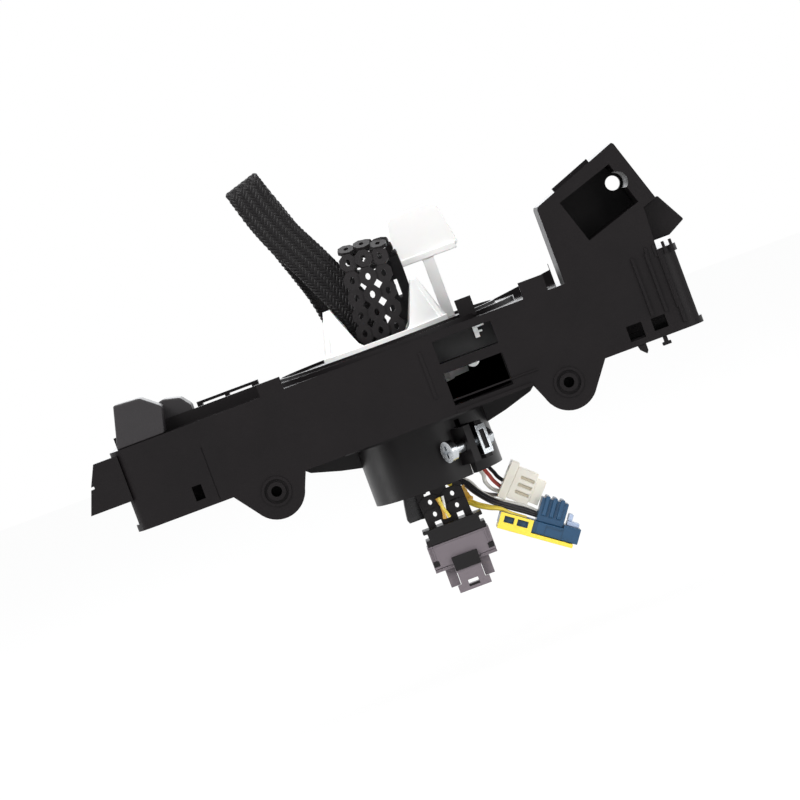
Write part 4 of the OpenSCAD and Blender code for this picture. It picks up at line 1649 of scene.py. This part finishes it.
@dataclass
class PlugDetails:
    """Catches, slots and lines on the three plugs, placed on the construction's own plugs.

    Attributes:
        plug_x: Middle of the switch plug.
        plug_front: Y of its front face.
        body_top: Height of the top of its grey body.
        body_half: Half its width.
        arm_at: Start of the airbag plug's arm.
        arm_tilt: Degrees by which the arm dips to the right.
        ivory_at: Middle of the ivory plug's upper face.
        ivory_tilt: Degrees by which the ivory plug dips.
    """

    plug_x: float = -0.8
    plug_front: float = -11.6
    body_top: float = -18.8
    body_half: float = 11.1
    arm_at: Point = (15.0, -4.6, -17.6)
    arm_tilt: float = 36.0
    ivory_at: Point = (21.4, 5.2, -6.6)
    ivory_tilt: float = 43.0

    def build(self) -> None:
        """Make the details of the three plugs."""
        self._switch_plug()
        self._airbag_plug()
        self._ivory_plug()

    def _switch_plug(self) -> None:
        """Make the black lock plate, thin black marks of painted shade for the slot and the corner sockets, the
        side ridges and the parting line.
        """
        x, y, top = self.plug_x, self.plug_front, self.body_top
        dark = MeshMaker()
        dark.box((x - 4.5, y - 2.1, top - 10.6), (x + 4.7, y - 1.0, top - 5.7))
        # A thin black strip below the lock plate is painted shade for a slot.
        dark.box((x - 1.9, y - 1.55, top - 17.1), (x + 1.9, y - 1.3, top - 16.3))
        # Thin black blocks at the corners are painted shade for the sockets.
        for side in (-1, 1):
            inner, outer = beside(x, side, 8.8, 10.9)
            dark.box((inner, y - 0.25, top - 7.2), (outer, y + 0.4, top - 5.4))
        dark.piece("switch_plug_lock_plate_and_shade", PLUG_BLACK, Body.ROTOR, 0.35)
        ridges = MeshMaker()
        for side in (-1, 1):
            for shift in (0.0, 1.2):
                inner, outer = beside(x, side, 9.3 + shift, 9.8 + shift)
                ridges.box((inner, y - 0.4, top - 4.9), (outer, y + 0.4, top - 0.5))
            inner, outer = beside(x, side, 5.2, 10.9)
            ridges.box((inner, y - 0.3, top - 8.6), (outer, y + 0.3, top - 8.2))
        half = self.body_half - 0.4
        ridges.box((x - half, y - 0.35, top - 0.5), (x + half, y + 0.4, top - 0.1))
        ridges.piece("switch_plug_ridges", PLUG_GREY, Body.ROTOR, 0.12)

    def _airbag_plug(self) -> None:
        """Make the pale catch at the end of the arm, and thin strips of the darker blue, painted shade, where
        the grooves of the barrel show.
        """
        turn = tilted(self.arm_at, self.arm_tilt)
        pale = MeshMaker().box((22.8, -3.2, 3.3), (27.2, 3.2, 4.9))
        pale.box((22.8, -3.2, 4.9), (24.4, 3.2, 7.4)).turned(turn)
        pale.piece("squib_plug_catch", LATCH_PALE, Body.ROTOR, 0.4)
        # Thin strips of the darker blue are painted shade in the barrel's grooves.
        lines = MeshMaker()
        for low, high in ((12.9, 13.2), (16.0, 16.3), (21.9, 22.3)):
            lines.box((low, -5.6, -1.9), (high, -5.45, 1.9))
        lines.box((16.4, -5.7, 0.8), (21.6, -5.45, 1.5)).turned(turn)
        lines.piece("squib_plug_groove_shade", PLUG_BLUE_PAINTED_SHADE, Body.ROTOR)

    def _ivory_plug(self) -> None:
        """Make thin strips of the darker ivory, painted shade, where the contact slots of the ivory plug show.
        """
        turn = tilted(self.ivory_at, self.ivory_tilt)
        slots = MeshMaker()
        half = 0.42
        for z in (-2.6, 0.0, 2.6):
            # Each strip is painted shade for one contact slot.
            slots.box((5.1, -3.7, z - half), (9.9, -3.5, z + half))
        slots.turned(turn)
        slots.piece("ivory_plug_slot_shade", PLUG_IVORY_PAINTED_SHADE, Body.ROTOR)


@dataclass
class CarrierDetails:
    """Ribs, lines and small steps of the housing's front wall, and the white forms behind its windows.

    Attributes:
        front: Y of the front wall's face.
        sunk: Depth to which each form is let into the wall.
        ribs: Left edge, right edge, lower edge, upper edge and height of each rib on the wall.
        grips: Left edges of the short ribs at the wall's right end.
    """

    front: float = -46.0
    sunk: float = 0.4
    ribs: tuple[tuple[float, float, float, float, float], ...] = (
        (7.9, 9.2, 29.4, 45.8, 0.35),
        (13.7, 43.4, 26.7, 27.3, 0.6),
        (94.0, 95.1, 24.6, 49.6, 0.9),
    )
    grips: tuple[float, ...] = (89.8, 92.6, 95.9, 98.4)

    def build(self) -> None:
        """Make the ribs of the front wall and the forms behind its windows."""
        self._ribs()
        self._windows()

    def _ribs(self) -> None:
        """Make the ribs, the short grips and the low ramp on the top edge."""
        maker = MeshMaker()
        grips = [(x, x + 1.0, 47.9, 52.1, 0.5) for x in self.grips]
        for left, right, low, high, proud in (*self.ribs, *grips):
            maker.box((left, self.front - proud, low), (right, self.front + self.sunk, high))
        maker.upright([(37.6, 51.3), (46.6, 51.3), (46.6, 53.0), (37.6, 51.9)], 11.0, 13.9)
        maker.piece("front_wall_ribs", NYLON, Body.CARRIER, 0.15)

    def _windows(self) -> None:
        """Make the white hook and pin, and a dark sheet of painted shade behind the windows."""
        hook = MeshMaker()
        for right, low, high in ((32.0, 46.7, 47.7), (29.6, 43.4, 47.7), (30.9, 44.9, 45.6)):
            hook.box((28.0, -39.6, low), (right, -38.4, high))
        hook.piece("window_hook", ACETAL, Body.CARRIER, 0.15)
        pin = MeshMaker().turned_solid([(0.2, -1.2), (1.9, -1.0), (2.2, 0.0)], (24.5, -37.6, 36.9), (0, -1, 0))
        pin.piece("window_pin", ACETAL, Body.CARRIER)
        # A dark sheet in the darker nylon is painted shade behind the windows.
        shade_sheet = MeshMaker().box((13.0, -38.0, 39.8), (34.9, -37.4, 49.4))
        shade_sheet.piece("window_painted_shade", NYLON_PAINTED_SHADE, Body.CARRIER)


def save_sizes() -> None:
    """Update the view layer.
    """
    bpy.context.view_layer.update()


def main() -> None:
    """Build the studio, dress the construction and add the pieces that only the look needs."""
    logging.basicConfig(level=logging.INFO, format="%(name)s: %(message)s")
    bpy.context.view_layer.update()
    bpy.context.scene.view_settings.view_transform = "Standard"
    Camera().build()
    Studio().build()
    Shells().build()
    ChainSleeve().build()
    BraidedSleeve().build()
    SleeveTail().build()
    AIRBAG_BUNCH.build()
    SIGNAL_BUNCH.build()
    PlugDetails().build()
    CarrierDetails().build()
    save_sizes()


if __name__ == "__main__":
    main()
